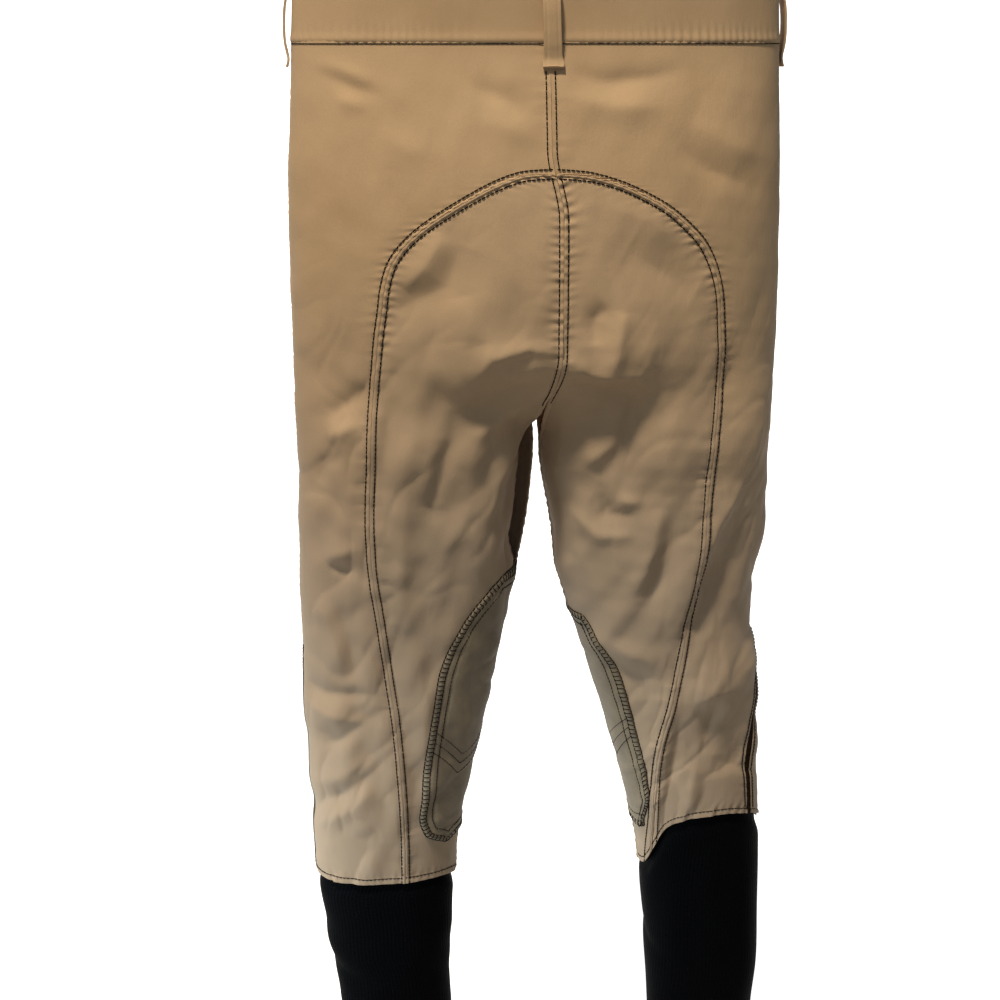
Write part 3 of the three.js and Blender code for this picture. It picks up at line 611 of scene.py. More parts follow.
def twill(name, light, dark, worn, sheen=0.06, pitch=0.62, lower_leg_shade=None):
    """Stretch cotton twill: fine diagonal weave, slub noise, faded patches, and painted shade that turns the
    lower legs darker and greyer.
    """
    material, tree, shader = new_material(name)
    vector = cloth_coords(tree)
    place = add_node(tree, "ShaderNodeTexCoord").outputs["Object"]
    weave = wave(tree, scaled(tree, vector, (1, 1, 1), 0.95), 0.314 / (pitch * MM) / 2, 0.6)
    grain = noise(tree, scaled(tree, vector, (1500, 700, 1)), 1.0, 2)
    cloud = noise(tree, place, 9.0, 4)
    streak = noise(tree, scaled(tree, place, (1, 1, 0.45)), 34.0, 5, 0.62)
    base = ramp(tree, cloud, [(0.32, dark), (0.68, light)])
    base = mix_colours(tree, math_node(tree, "MULTIPLY", streak, 0.35), base, worn)
    # Painted shade: below about -0.16 m the colour is mixed towards a darker, greyer tone, standing in for
    # the light falling off down the legs.
    if lower_leg_shade:
        split = add_node(tree, "ShaderNodeSeparateXYZ")
        tree.links.new(place, split.inputs[0])
        low = fade(tree, split.outputs["Z"], -0.46, -0.16)
        base = mix_colours(tree, math_node(tree, "MULTIPLY", low, 0.72), base, lower_leg_shade)
    weave, grain = math_node(tree, "MULTIPLY", weave, 0.3), math_node(tree, "MULTIPLY", grain, 0.7)
    threads = math_node(tree, "ADD", weave, grain)
    shade = ramp(tree, threads, [(0.2, grey(0.87)), (0.8, grey(1.06))])
    tree.links.new(mix_colours(tree, 1.0, base, shade, "MULTIPLY"), shader.inputs["Base Color"])
    rough = ramp(tree, streak, [(0.3, grey(0.78)), (0.7, grey(0.92))])
    tree.links.new(rough, shader.inputs["Roughness"])
    set_inputs(shader, {"Sheen Weight": sheen, "Sheen Roughness": 0.45, "Specular IOR Level": 0.3})
    soft = bump(tree, streak, 0.5, 0.0018)
    tree.links.new(bump(tree, threads, 0.3, 0.0003, soft), shader.inputs["Normal"])
    return material


def suede(name, light, dark):
    """Brushed suede: short nap with darker, polished blotches."""
    material, tree, shader = new_material(name)
    vector = cloth_coords(tree)
    nap = noise(tree, scaled(tree, vector, (900, 900, 1)), 1.0, 4, 0.7)
    blotch = noise(tree, scaled(tree, vector, (38, 24, 1)), 1.0, 5, 0.62)
    base = ramp(tree, blotch, [(0.3, dark), (0.7, light)])
    shade = ramp(tree, nap, [(0.25, grey(0.80)), (0.75, (1.12, 1.12, 1.10))])
    tree.links.new(mix_colours(tree, 1.0, base, shade, "MULTIPLY"), shader.inputs["Base Color"])
    rough = ramp(tree, blotch, [(0.3, grey(0.72)), (0.7, grey(0.95))])
    tree.links.new(rough, shader.inputs["Roughness"])
    set_inputs(shader, {"Sheen Weight": 0.1, "Sheen Roughness": 0.6})
    soft = bump(tree, blotch, 0.3, 0.0008)
    tree.links.new(bump(tree, nap, 0.5, 0.0003, soft), shader.inputs["Normal"])
    return material


def knit(name, colour, glow):
    """Fine elastic knit: upright ribs with a faint cool sheen."""
    material, tree, shader = new_material(name)
    vector = cloth_coords(tree)
    ribs = wave(tree, scaled(tree, vector, (1, 1, 1)), 0.314 / (1.6 * MM) / 2, 0.3)
    rows = wave(tree, scaled(tree, vector, (1, 1, 1), math.pi / 2), 0.314 / (0.9 * MM) / 2, 0.3)
    fluff = noise(tree, scaled(tree, vector, (600, 600, 1)), 1.0, 3)
    height = math_node(tree, "ADD", ribs, math_node(tree, "MULTIPLY", rows, 0.35))
    tone = ramp(tree, fluff, [(0.3, colour), (0.75, glow)])
    tree.links.new(tone, shader.inputs["Base Color"])
    set_inputs(shader, {"Roughness": 0.7, "Specular IOR Level": 0.02})
    tree.links.new(bump(tree, height, 0.4, 0.0004), shader.inputs["Normal"])
    return material


def thread(name, colour, light):
    material, tree, shader = new_material(name)
    place = add_node(tree, "ShaderNodeTexCoord").outputs["Object"]
    fuzz = noise(tree, place, 2400.0, 2)
    tree.links.new(ramp(tree, fuzz, [(0.3, colour), (0.7, light)]), shader.inputs["Base Color"])
    set_inputs(shader, {"Roughness": 0.7, "Specular IOR Level": 0.08})
    tree.links.new(bump(tree, fuzz, 0.4, 0.0002), shader.inputs["Normal"])
    return material


def metal(name, colour):
    """Plated metal with rubbed, slightly tarnished faces."""
    material, tree, shader = new_material(name)
    place = add_node(tree, "ShaderNodeTexCoord").outputs["Object"]
    rub = noise(tree, scaled(tree, place, (300, 300, 60)), 1.0, 5, 0.7)
    dark = tuple(c * 0.55 for c in colour)
    tree.links.new(ramp(tree, rub, [(0.3, dark), (0.6, colour)]), shader.inputs["Base Color"])
    rough = ramp(tree, rub, [(0.3, grey(0.5)), (0.7, grey(0.25))])
    tree.links.new(rough, shader.inputs["Roughness"])
    shader.inputs["Metallic"].default_value = 1.0
    tree.links.new(bump(tree, rub, 0.2, 0.0002), shader.inputs["Normal"])
    return material


# The last colour of the body and seat twill is painted shade for the lower legs.
BODY = twill("body_twill", (0.49, 0.325, 0.178), (0.42, 0.27, 0.142), (0.55, 0.39, 0.23),
             lower_leg_shade=(0.375, 0.285, 0.205))
SEAT = twill("seat_twill", (0.49, 0.33, 0.188), (0.42, 0.275, 0.15), (0.55, 0.395, 0.245),
             lower_leg_shade=(0.36, 0.278, 0.20))
LINING = twill("lining_cotton", (0.46, 0.38, 0.27), (0.40, 0.33, 0.23), (0.52, 0.44, 0.33), 0.1, 0.6)
TAPE = twill("zip_tape_weave", (0.33, 0.26, 0.18), (0.28, 0.22, 0.15), (0.38, 0.3, 0.2), 0.1, 0.5)
LABEL = twill("label_satin", (0.75, 0.73, 0.68), (0.68, 0.66, 0.6), (0.8, 0.78, 0.74), 0.1, 0.4)
PATCH = suede("patch_suede", (0.27, 0.210, 0.134), (0.165, 0.126, 0.080))
KNIT = knit("sock_knit", (0.0008, 0.0009, 0.0012), (0.003, 0.0034, 0.0045))
STRETCH = knit("stretch_insert", (0.012, 0.006, 0.003), (0.04, 0.022, 0.012))
THREAD = thread("dark_thread", (0.005, 0.003, 0.002), (0.014, 0.009, 0.006))
STEEL = metal("plated_steel", (0.58, 0.57, 0.55))
BRASS = metal("aged_brass", (0.62, 0.50, 0.30))


# ---------- seams ----------
SEAM_ROW = 3.2


def seat_seam(side, shift, count=280):
    """Places and levels along the curved seat seam, moved outwards by shift mm."""
    x, z = (along(column, count) for column in np.array(SEAT_SEAM[side], float).T)
    dx, dz = np.gradient(x), np.gradient(z)
    size = np.hypot(dx, dz)
    level = np.maximum(z + shift * dx / size, HEM_LEVEL)
    away = np.maximum(x - shift * dz / size, 0.13)
    return place_at_x(side, away, level), level


def pucker(s, seed, pitch=6.5):
    """Small uneven gathers along a stitched seam, s in mm."""
    swing = 1.6 * np.sin(s / 13 + seed)
    return np.sin(2 * np.pi * s / pitch + swing) * (0.7 + 0.3 * np.sin(s / 31 + 2 * seed))


def seam_relief(d, s, seed, row=4.3, welt=0.55, gather=0.28):
    """Height near a sewn edge: d mm from the seam, s mm along it."""
    height = welt * np.exp(-(d / row) ** 4)
    height -= 0.22 * bell(d, 0.8) + 0.55 * bell(d - row, 1.0)
    height += gather * pucker(s, seed) * bell(d - row, 5.5)
    height += 0.5 * gather * pucker(s, seed + 3, 11) * bell(d, 14)
    return height


def ruled_panel(name, side, first, second, cols, relief, material, thickness=1.1):
    """A panel between two edges (places, levels); relief maps an edge name to its seam settings."""
    u = spread(cols)[None, :]
    t = first[0][:, None] * (1 - u) + second[0][:, None] * u
    z = first[1][:, None] * (1 - u) + second[1][:, None] * u
    points, normals = sample(side, t, z)
    across, down = run_length(points, 1), run_length(points)
    edges = {"first": (across, down[:, :1]), "second": (across[:, -1:] - across, down[:, -1:]),
             "top": (down, across), "bottom": (down[-1:] - down, across)}
    height = np.zeros(t.shape)
    for k, (edge, options) in enumerate(relief.items()):
        d, s = edges[edge]
        height += seam_relief(d, s, k * 1.7 + side, **options)
    outer = points + normals * height[..., None]
    inner = outer - normals * thickness
    cloth = np.stack([across - across[:, -1:] * 0.5, -z, np.zeros_like(t)], -1) * MM
    return closed_sheet(name, outer, inner, material, flip=side == RIGHT, cloth=cloth)


FELL = {"row": SEAM_ROW, "welt": 0.8, "gather": 0.45}
PLAIN = {"row": 2.2, "welt": 0.25, "gather": 0.18}
HEMMED = {"row": 5.0, "welt": 0.5, "gather": 0.35}
PANEL_COLUMNS, FRONT_COLUMNS = 78, 92
STRIP_HALF, STRIP_TOP = 3.2, -488.0


def side_place(side, z):
    return look(SIDE_PLACE[side], z)


def half_insert(side, z):
    """Half the width of the stretch strip, as a share of the way round."""
    middle = side_place(side, z)
    points = surface(side, np.stack([middle - 0.01, middle + 0.01]), z[None, :])
    per_share = np.linalg.norm(points[1] - points[0], axis=-1) / 0.02
    opening = STRIP_HALF * smooth((STRIP_TOP - z) / 16)
    return (opening + 0.05) / per_share


def seat_panel(side):
    t, z = seat_seam(side, -0.1)
    keep = slice(1, None)
    levels = along(CENTRE_TIES, len(z))[keep]
    first, second = (np.zeros_like(levels), levels), (t[keep], z[keep])
    return ruled_panel(f"seat_cloth_{WORD[side]}", side, first, second, PANEL_COLUMNS,
                       {"second": FELL, "first": FELL, "bottom": HEMMED}, SEAT)


def back_side_panel(side):
    t, z = seat_seam(side, 0.1)
    top = np.linspace(-BAND_HEIGHT + 1.5, -128.5, 34)
    side_top = np.linspace(-BAND_HEIGHT + 1.5, -117, 34)
    levels = np.concatenate([side_top, along(SIDE_TIES, len(z))])
    first = (np.concatenate([np.zeros_like(top), t]), np.concatenate([top, z]))
    second = (side_place(side, levels) - half_insert(side, levels), levels)
    return ruled_panel(f"back_cloth_{WORD[side]}", side, first, second, PANEL_COLUMNS,
                       {"first": FELL, "second": PLAIN, "bottom": HEMMED}, BODY)


FLY_EDGE, FLY_BEND, FLY_FOOT = 38.3, -138.0, -166.0


def fly_edge(z):
    """The free edge of the fly: straight, then curving in to its foot."""
    return FLY_EDGE - 30 * smooth((FLY_BEND - z) / 34) ** 1.4


def front_panel(side):
    z = np.arange(-BAND_HEIGHT + 1.5, HEM_LEVEL - 0.1, -2.4)
    outside = (side_place(side, z) + half_insert(side, z), z)
    x = np.full(z.shape, 0.13)
    if side == LEFT:
        x = 0.13 + (fly_edge(z) + 1.9) * (1 - smooth((FLY_FOOT + 1 - z) / 5))
    centre = np.where(z < CROTCH_START, 1.0, place_at_x(side, x, z, "front"))
    return ruled_panel(f"front_cloth_{WORD[side]}", side, outside, (centre, z), FRONT_COLUMNS,
                       {"first": PLAIN, "second": FELL, "bottom": HEMMED}, BODY)


def side_insert(side):
    z = np.arange(STRIP_TOP - 1, HEM_LEVEL - 0.1, -1.2)
    half = half_insert(side, z) * 0.99
    u = np.linspace(-1, 1, 15)[None, :]
    t = side_place(side, z)[:, None] + half[:, None] * u
    level = np.repeat(z[:, None], 15, 1)
    points, normals = sample(side, t, level)
    rib = -0.5 + 0.35 * np.sin(z[:, None] * 2.2 + 0.8 * np.sin(z[:, None] / 9)) * (1 - u ** 4)
    outer = points + normals * rib[..., None]
    inner = outer - normals * 0.9
    return closed_sheet(f"stretch_strip_{WORD[side]}", outer, inner, STRETCH, flip=side == RIGHT)


# ---------- stitches ----------
class Stitches:
    """Collects small thread capsules and makes them one mesh."""

    def __init__(self):
        self.points = []
        self.faces = []

    # Rings of a capsule: share of its length, share of its radius, how far the ring lies above the line.
    RINGS = ((0, 0.35, -0.45), (0.16, 0.9, 0), (0.5, 1, None), (0.84, 0.9, 0), (1, 0.35, -0.45))

    def capsule(self, a, b, normal, radius, lift=0.12, sides=6):
        axis = unit(b - a)
        across = unit(np.cross(axis, normal))
        up = np.cross(across, axis)
        base = sum(len(p) for p in self.points)
        rings = []
        for share, size, rise in self.RINGS:
            rise = lift * 1.5 if rise is None else rise
            centre = a + (b - a) * share + up * (rise * radius * 2 + lift)
            angles = np.linspace(0, 2 * np.pi, sides, endpoint=False)
            ring = centre + radius * size * (np.cos(angles)[:, None] * across + np.sin(angles)[:, None] * up)
            rings.append(ring)
        self.points.append(np.concatenate(rings))
        for r in range(4):
            for k in range(sides):
                n = (k + 1) % sides
                self.faces.append([base + r * sides + k, base + r * sides + n,
                                   base + (r + 1) * sides + n, base + (r + 1) * sides + k])
        self.faces.append([base + k for k in range(sides)][::-1])
        self.faces.append([base + 4 * sides + k for k in range(sides)])

    def row(self, points, normals, pitch=3.4, share=0.95, radius=0.48, lift=0.1):
        """Dashes along a path of points."""
        run = run_length(points)
        count = max(1, int(run[-1] / pitch))
        for k in range(count):
            s0 = (k + 0.11) * run[-1] / count
            s1 = s0 + share * run[-1] / count
            start, end = point_at(run, s0, points), point_at(run, s1, points)
            self.capsule(start, end, point_at(run, s0, normals), radius, lift)

    def make(self, name, material):
        return make_object(name, np.concatenate(self.points), self.faces, material, sharp=None)


def point_at(run, s, path):
    """The point or normal of a path at a distance along it."""
    return np.array([np.interp(s, run, path[:, n]) for n in range(3)])


def on_cloth(side, t, z, lift=0.0):
    points, normals = sample(side, t, z)
    return points + normals * lift, normals


def stitch_seat_seam(side):
    """Two rows along the arch and the contour seam, one on each side of it."""
    out = Stitches()
    for shift in (SEAM_ROW, -SEAM_ROW):
        t, z = seat_seam(side, shift, 420)
        x = side * surface(side, t, z)[..., 0]
        keep = (x > SEAM_ROW + 0.2) | (z > -134)
        keep &= x > 0.2
        out.row(*on_cloth(side, t[keep], z[keep], 0.2))
    return out.make(f"seat_seam_thread_{WORD[side]}", THREAD)


def stitch_centre_back(side):
    """One row beside the centre-back seam, and one beside the front crotch seam."""
    out = Stitches()
    for top, bottom in ((-60, -126.5), (-132.5, -300)):
        z = np.linspace(top, bottom, 120)
        t = place_at_x(side, SEAM_ROW, z)
        out.row(*on_cloth(side, t, z, 0.2))
    z = np.linspace(-171, -300, 90)
    t = place_at_x(side, SEAM_ROW, z, "front")
    out.row(*on_cloth(side, t, z, 0.2))
    return out.make(f"centre_thread_{WORD[side]}", THREAD)


def stitch_hem(side):
    out = Stitches()
    t = np.linspace(0.01, 0.99, 300)
    out.row(*on_cloth(side, t, HEM_LEVEL + 5, 0.1), pitch=3.2, radius=0.42)
    return out.make(f"hem_thread_{WORD[side]}", THREAD)


def stitch_side(side):
    """A row on each side of the stretch strip."""
    out = Stitches()
    z = np.linspace(-500, HEM_LEVEL + 7, 160)
    for sign in (-1, 1):
        shift = half_insert(side, z) * (1 + 2.6 / STRIP_HALF)
        out.row(*on_cloth(side, side_place(side, z) + sign * shift, z, 0.1), pitch=3.0)
    return out.make(f"strip_thread_{WORD[side]}", THREAD)


# ---------- knee patches ----------
def patch_edge(side, z, half):
    table = PATCH_BACK[side]
    x = np.maximum(look(table, z), side * surface(side, np.zeros_like(z), z)[..., 0] + 4)
    share = place_at_x(side, x, z, half)
    return share if half == "back" else share - 1


def patch_lift(v, u):
    """How far the bottom of the patch rises towards the inseam."""
    return PATCH_RISE * v ** 5 * (1 - (2 * u - 1) ** 2)


def knee_patch(side):
    """Suede patch over the inner knee, with rolled edges."""
    top, bottom = PATCH_BACK[side][0][0], PATCH_BACK[side][-1][0]
    v = spread(120, 0.6)
    z = top + (bottom - top) * v
    u = spread(64, 0.5)[None, :]
    front, back = patch_edge(side, z, "front"), patch_edge(side, z, "back")
    t = front[:, None] * (1 - u) + back[:, None] * u
    level = z[:, None] + patch_lift(v[:, None], u)
    points, normals = sample(side, t, level)
    across = run_length(points, 1)
    down = (top - z)[:, None] * np.ones_like(t)
    edge = np.minimum(np.minimum(across, across[:, -1:] - across), np.minimum(down, down[-1:] - down))
    height = 1.5 * (1 - np.exp(-(edge / 0.8)))
    height -= 0.5 * bell(edge - PATCH_ROW, 1.2) + 0.45 * bell(edge - LADDER, 1.0)
    height += 0.3 * waves(across, level, 5, 26, 2) * smooth(edge / 8)
    outer = points + normals * (0.25 + height)[..., None]
    inner = points - normals * 0.25
    return closed_sheet(f"suede_patch_{WORD[side]}", outer, inner, PATCH, flip=side == RIGHT)


def patch_path(side, inset):
    """Places and levels of a closed line inset mm inside the patch's edge."""
    top, bottom = PATCH_BACK[side][0][0], PATCH_BACK[side][-1][0]
    z = top + (bottom - top) * spread(160, 0.6)
    back, front = patch_edge(side, z, "back"), patch_edge(side, z, "front")
    across = np.linspace(1, 0, 60)[1:-1]
    foot = front[-1] + (back[-1] - front[-1]) * across
    head = front[0] + (back[0] - front[0]) * across[::-1]
    t = np.concatenate([back, foot, front[::-1], head])
    level = np.concatenate([z, bottom + patch_lift(1.0, across), z[::-1], np.full(across.shape, top)])
    rate = np.linalg.norm(surface(side, t + 0.004, level) - surface(side, t - 0.004, level), axis=-1) / 0.008
    rate = np.where(np.abs(t) < 0.03, np.median(rate), rate)
    run, rise = ring_gradient(t) * rate, ring_gradient(level)
    size = np.maximum(np.hypot(run, rise), 1e-6)
    return t + inset * ring_mean(rise / size) / rate, level - inset * ring_mean(run / size)


def ring_gradient(values):
    return (np.roll(values, -1) - np.roll(values, 1)) / 2


def ring_mean(values, reach=4):
    return sum(np.roll(values, k) for k in range(-reach, reach + 1)) / (2 * reach + 1)


def stitch_patch(side):
    """Ladder stitches round the edge, a row inside it, and three chevron rows low on the patch."""
    out = Stitches()
    rails = [on_cloth(side, *patch_path(side, inset), lift) for inset, lift in ((-0.4, 0.2), (LADDER, 1.55))]
    for (points, normals), lift in zip(rails, (0.1, 0.0)):
        out.row(points, normals, pitch=4.0, share=0.94, radius=0.42, lift=lift)
    outside, inside = rails[0][0], rails[1][0]
    run = run_length(outside)
    for s in np.arange(0, run[-1], 4.0):
        start, end = point_at(run, s, outside), point_at(run, s, inside)
        normal = point_at(run, s, rails[0][1])
        if np.linalg.norm(end - start) < 2 * LADDER:
            out.capsule(start + normal, end + normal * 0.2, normal, 0.42, 0.2)
    points, normals = on_cloth(side, *patch_path(side, PATCH_ROW), 1.6)
    out.row(points, normals, pitch=3.3, radius=0.38)
    chevrons(out, side, PATCH_BACK[side][-1][0])
    return out.make(f"patch_thread_{WORD[side]}", THREAD)


def chevrons(out, side, bottom):
    """Three V-shaped rows across the patch, low in the middle of it."""
    for k in range(3):
        edge_level = bottom + 112 - 9 * k
        low_point = edge_level - 30
        point = CHEVRON_POINT[side]
        z_back = np.linspace(edge_level, low_point, 40)
        t_back = np.linspace(1, point, 40) * patch_edge(side, z_back, "back")
        t_mid = np.linspace(point, -0.7, 40) * patch_edge(side, np.full(40, low_point), "back")
        z_mid = np.linspace(low_point, edge_level + 8, 40)
        keep = slice(5, None)
        t = np.concatenate([t_back[keep], t_mid[1:]])
        z = np.concatenate([z_back[keep], z_mid[1:]])
        out.row(*on_cloth(side, t, z, 1.7), pitch=3.2, radius=0.32)


# ---------- sock cuffs ----------
ANKLE_X = 130
ANKLE_FOLD = [(-40, -760), (10, -790), (60, -812)]


def sock_points(side, t, z, lift):
    points = surface(side, t, z)
    outward = unit(grid_normals(points, side) * np.array([1, 1, 0]))
    x = points[..., 0]
    crease = 1.2 * waves(x * 0.8, z, 61 + side, 60, 2) * smooth((-715 - z) / 40)
    around = np.arctan2(points[..., 1], x - side * ANKLE_X) * 40
    crease += ridge(around, z, ANKLE_FOLD, -1.6, 9)
    return points + outward * (lift + crease * smooth((z + 935) / 30))[..., None], outward


def sock_cuff(side):
    z = np.concatenate([np.arange(-664, -702, -4.0), np.arange(-702, -940.1, -3.4), [-940]])
    t = np.linspace(0, 1, 151)[:-1]
    place, level = np.meshgrid(t, z)
    lift = -3.9 + 3.6 * smooth((HEM_LEVEL - 1 - level) / 16)
    wrapped = np.concatenate([place, place[:, :1] + 1], 1)
    deep = np.concatenate([level, level[:, :1]], 1)
    outer, outward = sock_points(side, wrapped, deep, np.concatenate([lift, lift[:, :1]], 1))
    outer, outward = outer[:, :-1], outward[:, :-1]
    inner = outer - outward * 1.1
    return closed_sheet(f"sock_{WORD[side]}", outer, inner, KNIT, closed=True, flip=side == RIGHT)


def hem_facing(side):
    z = np.array([-682, -690, -698, HEM_LEVEL + 0.5])
    t = np.linspace(0, 1, 161)[:-1]
    place, level = np.meshgrid(t, z)
    points, normals = sample(side, place, level)
    outer = points - normals * 1.5
    inner = outer - normals * 0.8
    return closed_sheet(f"hem_fold_{WORD[side]}", outer, inner, LINING, closed=True, flip=side == RIGHT)


# ---------- waistband ----------
def band_points(place, z):
    """Points and flat normals round the waist: place is minus on the right, 0 at the centre back."""
    place, z = np.broadcast_arrays(place, z)
    left, right = surface(LEFT, np.abs(place), z), surface(RIGHT, np.abs(place), z)
    points = np.where((place >= 0)[..., None], left, right)
    points[..., 0] = np.where(np.abs(place) < 1e-6, 0, points[..., 0])
    across = np.gradient(points, axis=1)
    normals = unit(np.stack([across[..., 1], -across[..., 0], np.zeros_like(z)], -1))
    facing = np.sum(normals * points * np.array([1, 1, 0]), -1, keepdims=True)
    return points, normals * np.sign(np.where(facing == 0, 1, facing))


def band_piece(name, start, end, cols, material, lift=0.3, thickness=2.4,
               top=0.0, bottom=-BAND_HEIGHT, relief=True):
    v = spread(26, 0.5)
    z = top + (bottom - top) * v
    place, level = np.meshgrid(np.linspace(start, end, cols), z)
    points, normals = band_points(place, level)
    across = run_length(points, 1)
    height = np.zeros(place.shape)
    if relief:
        high, low = top - level, level - bottom
        height += 0.5 * waves(across, level * 0.5, 19, 70, 2)
        height -= bell(high, 0.9) + 0.5 * bell(low, 0.8)
        gathers = 0.85 * pucker(across, 2.0, 6.0) * (0.5 + 0.5 * waves(across, level * 0, 23, 90, 1))
        height += gathers * bell(low - 4, 7) + 0.4 * bell(low - 3.0, 2.4)
    outer = points + normals * (lift + height)[..., None]
    inner = points + normals * (lift - thickness)
    return closed_sheet(name, outer, inner, material)


def end_place(side, x):
    return side * float(place_at_x(side, np.array([x]), np.array([-20.0]), "front")[0])


def waistband():
    back = band_piece("band_back", -0.4995, 0.4995, 300, BODY)
    left = band_piece("band_front_left", 0.5005, end_place(LEFT, 39.0), 110, BODY)
    right = band_piece("band_front_right", end_place(RIGHT, 5.0), -0.5005, 120, BODY)
    facing = band_piece("band_facing", end_place(RIGHT, 16), end_place(LEFT, 45.5), 300, LINING,
                        -2.4, 0.9, -2.0, -BAND_HEIGHT - 5, False)
    label = band_piece("blank_label", -0.055, 0.055, 40, LABEL, -3.6, 0.5, -8.0, -34.0, False)
    place_piece(back, ROOT, "waistband_back")
    place_piece(left, ROOT, "waistband_front_left")
    place_piece(right, ROOT, "waistband_front_right")
    place_piece(facing, ROOT, "waistband_facing")
    place_piece(label, ROOT, "size_label")


# ---------- belt loops ----------
def belt_loop(name, node, side, place, lean=0.0):
    """A folded strap standing off the waistband, doubled over at its foot."""
    path = np.array([[0.9, -1.5], [1.2, -6], [3.2, -10], [4.6, -15], [5.2, -24], [5.0, -34], [4.2, -42],
                     [2.6, -48], [1.6, -53], [2.2, -57.5], [3.0, -58.2]])
    s = np.linspace(0, len(path) - 1, 90)
    out, z = (along(column, len(s)) for column in path.T)
    width = 6.2 + 0.2 * np.sin(s * 1.1) + 1.3 * smooth((-z - 49) / 6)
    flat = surface(side, place, np.array([-20.0]))[0]
    nearby = surface(side, place + 0.002, np.array([-20.0]))[0]
    tangent = unit((nearby - flat) * np.array([1, 1, 0]))
    normal = np.array([-tangent[1], tangent[0], 0.0])
    normal *= np.sign(np.dot(normal, flat * np.array([1, 1, 0])))
    across = np.cross([0, 0, 1], normal)
    u = np.linspace(-1, 1, 19)
    base = surface(side, place, np.minimum(z, 0))
    if place == 0:
        base[:, 0] = 0
    centre = np.stack([base[:, 0], base[:, 1], z], -1) + out[:, None] * normal
    shift = (u[None, :] * width[:, None] + lean * (-z[:, None] / 60))
    crown = 0.35 * (1 - u ** 4 - bell(np.abs(u) - 0.62, 0.09))[None, :]
    crown = crown + 0.06 * np.sin(z[:, None] * 0.5)
    step = np.gradient(np.stack([out, z], -1), axis=0)
    push = unit(np.stack([-step[:, 1], step[:, 0]], -1))
    direction = push[:, :1] * normal[None, :] + push[:, 1:] * np.array([[0, 0, 1]])
    direction *= np.sign(np.sum(direction * normal, -1, keepdims=True) + 1e-9)
    outer = centre[:, None, :] + shift[..., None] * across + (0.7 + crown)[..., None] * direction[:, None, :]
    inner = centre[:, None, :] + shift[..., None] * across - 0.7 * direction[:, None, :]
    obj = closed_sheet(name, outer, inner, BODY)
    place_piece(obj, ROOT, node)


# ---------- fly ----------
def fly_point(x, depth, z):
    """A point of the flat front: depth is measured inwards from the front face."""
    x, depth, z = np.broadcast_arrays(x, depth, z)
    return np.stack([x, -(WAIST_FRONT - FRONT_SLOPE * z) + depth, z], -1)


def fly_sheet(name, node, x0, x1, z0, z1, front, back, material, body,
              left_edge=None, wavy=0.25):
    """A flat soft piece of the fly with rounded edges; left_edge(z) may cut its wearer's-left side."""
    rows, cols = 46, 26
    z = z0 + (z1 - z0) * spread(rows, 0.4)
    right = left_edge(z) if left_edge else np.full(rows, float(x1))
    u = spread(cols, 0.5)[None, :]
    x = x0 * (1 - u) + right[:, None] * u
    level = np.repeat(z[:, None], cols, 1)
    edge = np.minimum(np.minimum(x - x0, right[:, None] - x), np.minimum(z0 - level, level - z1))
    roll = 0.45 * bell(np.maximum(edge, 0), 0.7)
    ripple = wavy * waves(x, level * 0.6, 77, 40, 2)
    outer = fly_point(x, front + roll - ripple * 0.6, level)
    inner = fly_point(x, back - roll * 0.5, level)
    obj = closed_sheet(name, outer, inner, material)
    place_piece(obj, body, node)


def fly():
    fly_sheet("flap_cloth", "fly_flap", -3, FLY_EDGE, -44, FLY_FOOT, -2.1, -0.5, BODY, FLY, fly_edge)
    fly_sheet("tab_cloth", "waistband_tab", -9, FLY_EDGE + 0.3, -0.3, -42.4, -2.9, -0.6, BODY, FLY)
    fly_sheet("underlap_cloth", "waistband_underlap", -4.2, 32, -1, -42, 2.4, 4.0, BODY, ROOT)
    fly_sheet("shield_cloth", "fly_shield", -13, 33, -50, -169, 7.2, 8.4, LINING, ROOT,
              lambda z: 33 - 22 * smooth((-140 - z) / 30))
    for word, x0, x1 in (("left", 18.3, 42.5), ("right", -8, 11.7)):
        fly_sheet(f"tape_{word}", f"zip_tape_{word}", x0, x1, -44, -158, 3.6, 4.2, TAPE, ROOT,
                  wavy=0.0)
    stitch_fly()


def stitch_fly():
    """Two rows along the flap's free edge."""
    out = Stitches()
    z = np.linspace(-47, -163, 120)
    z = z[z > -160]
    outward = np.tile([0.0, -1.0, 0.0], (len(z), 1))
    for inset in (3.0, 9.0):
        out.row(fly_point(fly_edge(z) - inset, -2.1, z), outward)
    place_piece(out.make("fly_thread", THREAD), FLY)


# The welt's and the bag's upper and lower ends: level, front x, back x.
WELT = ((-66, 128, 138), (-186, 158, 167))
BAG = ((-58, 62, 126), (-196, 70, 150))


def pocket_piece(side, name, ends, lift, thick, rows, cols, material):
    (top, x0_top, x1_top), (foot, x0_foot, x1_foot) = ends
    v, u = spread(rows, 0.4)[:, None], spread(cols, 0.5)[None, :]
    z = top + (foot - top) * v + 0 * u
    x0 = x0_top + (x0_foot - x0_top) * v
    x1 = x1_top + (x1_foot - x1_top) * v
    t = place_at_x(side, x0 + (x1 - x0) * u, z, "front")
    points, normals = sample(side, t, z)
    edge = np.minimum(np.minimum(u, 1 - u) * (x1 - x0), np.minimum(v, 1 - v) * 120)
    height = lift - 0.7 * bell(edge, 0.7)
    outer = points + normals * height[..., None]
    inner = points + normals * (lift - thick)
    word = WORD[side]
    obj = closed_sheet(f"pocket_{name}_cloth_{word}", outer, inner, material, flip=side == LEFT)
    place_piece(obj, ROOT, f"pocket_{name}_{word}")


def welt_edge(z):
    (top, x_top, _), (foot, x_foot, _) = WELT
    return x_top + (x_foot - x_top) * (top - z) / (top - foot)


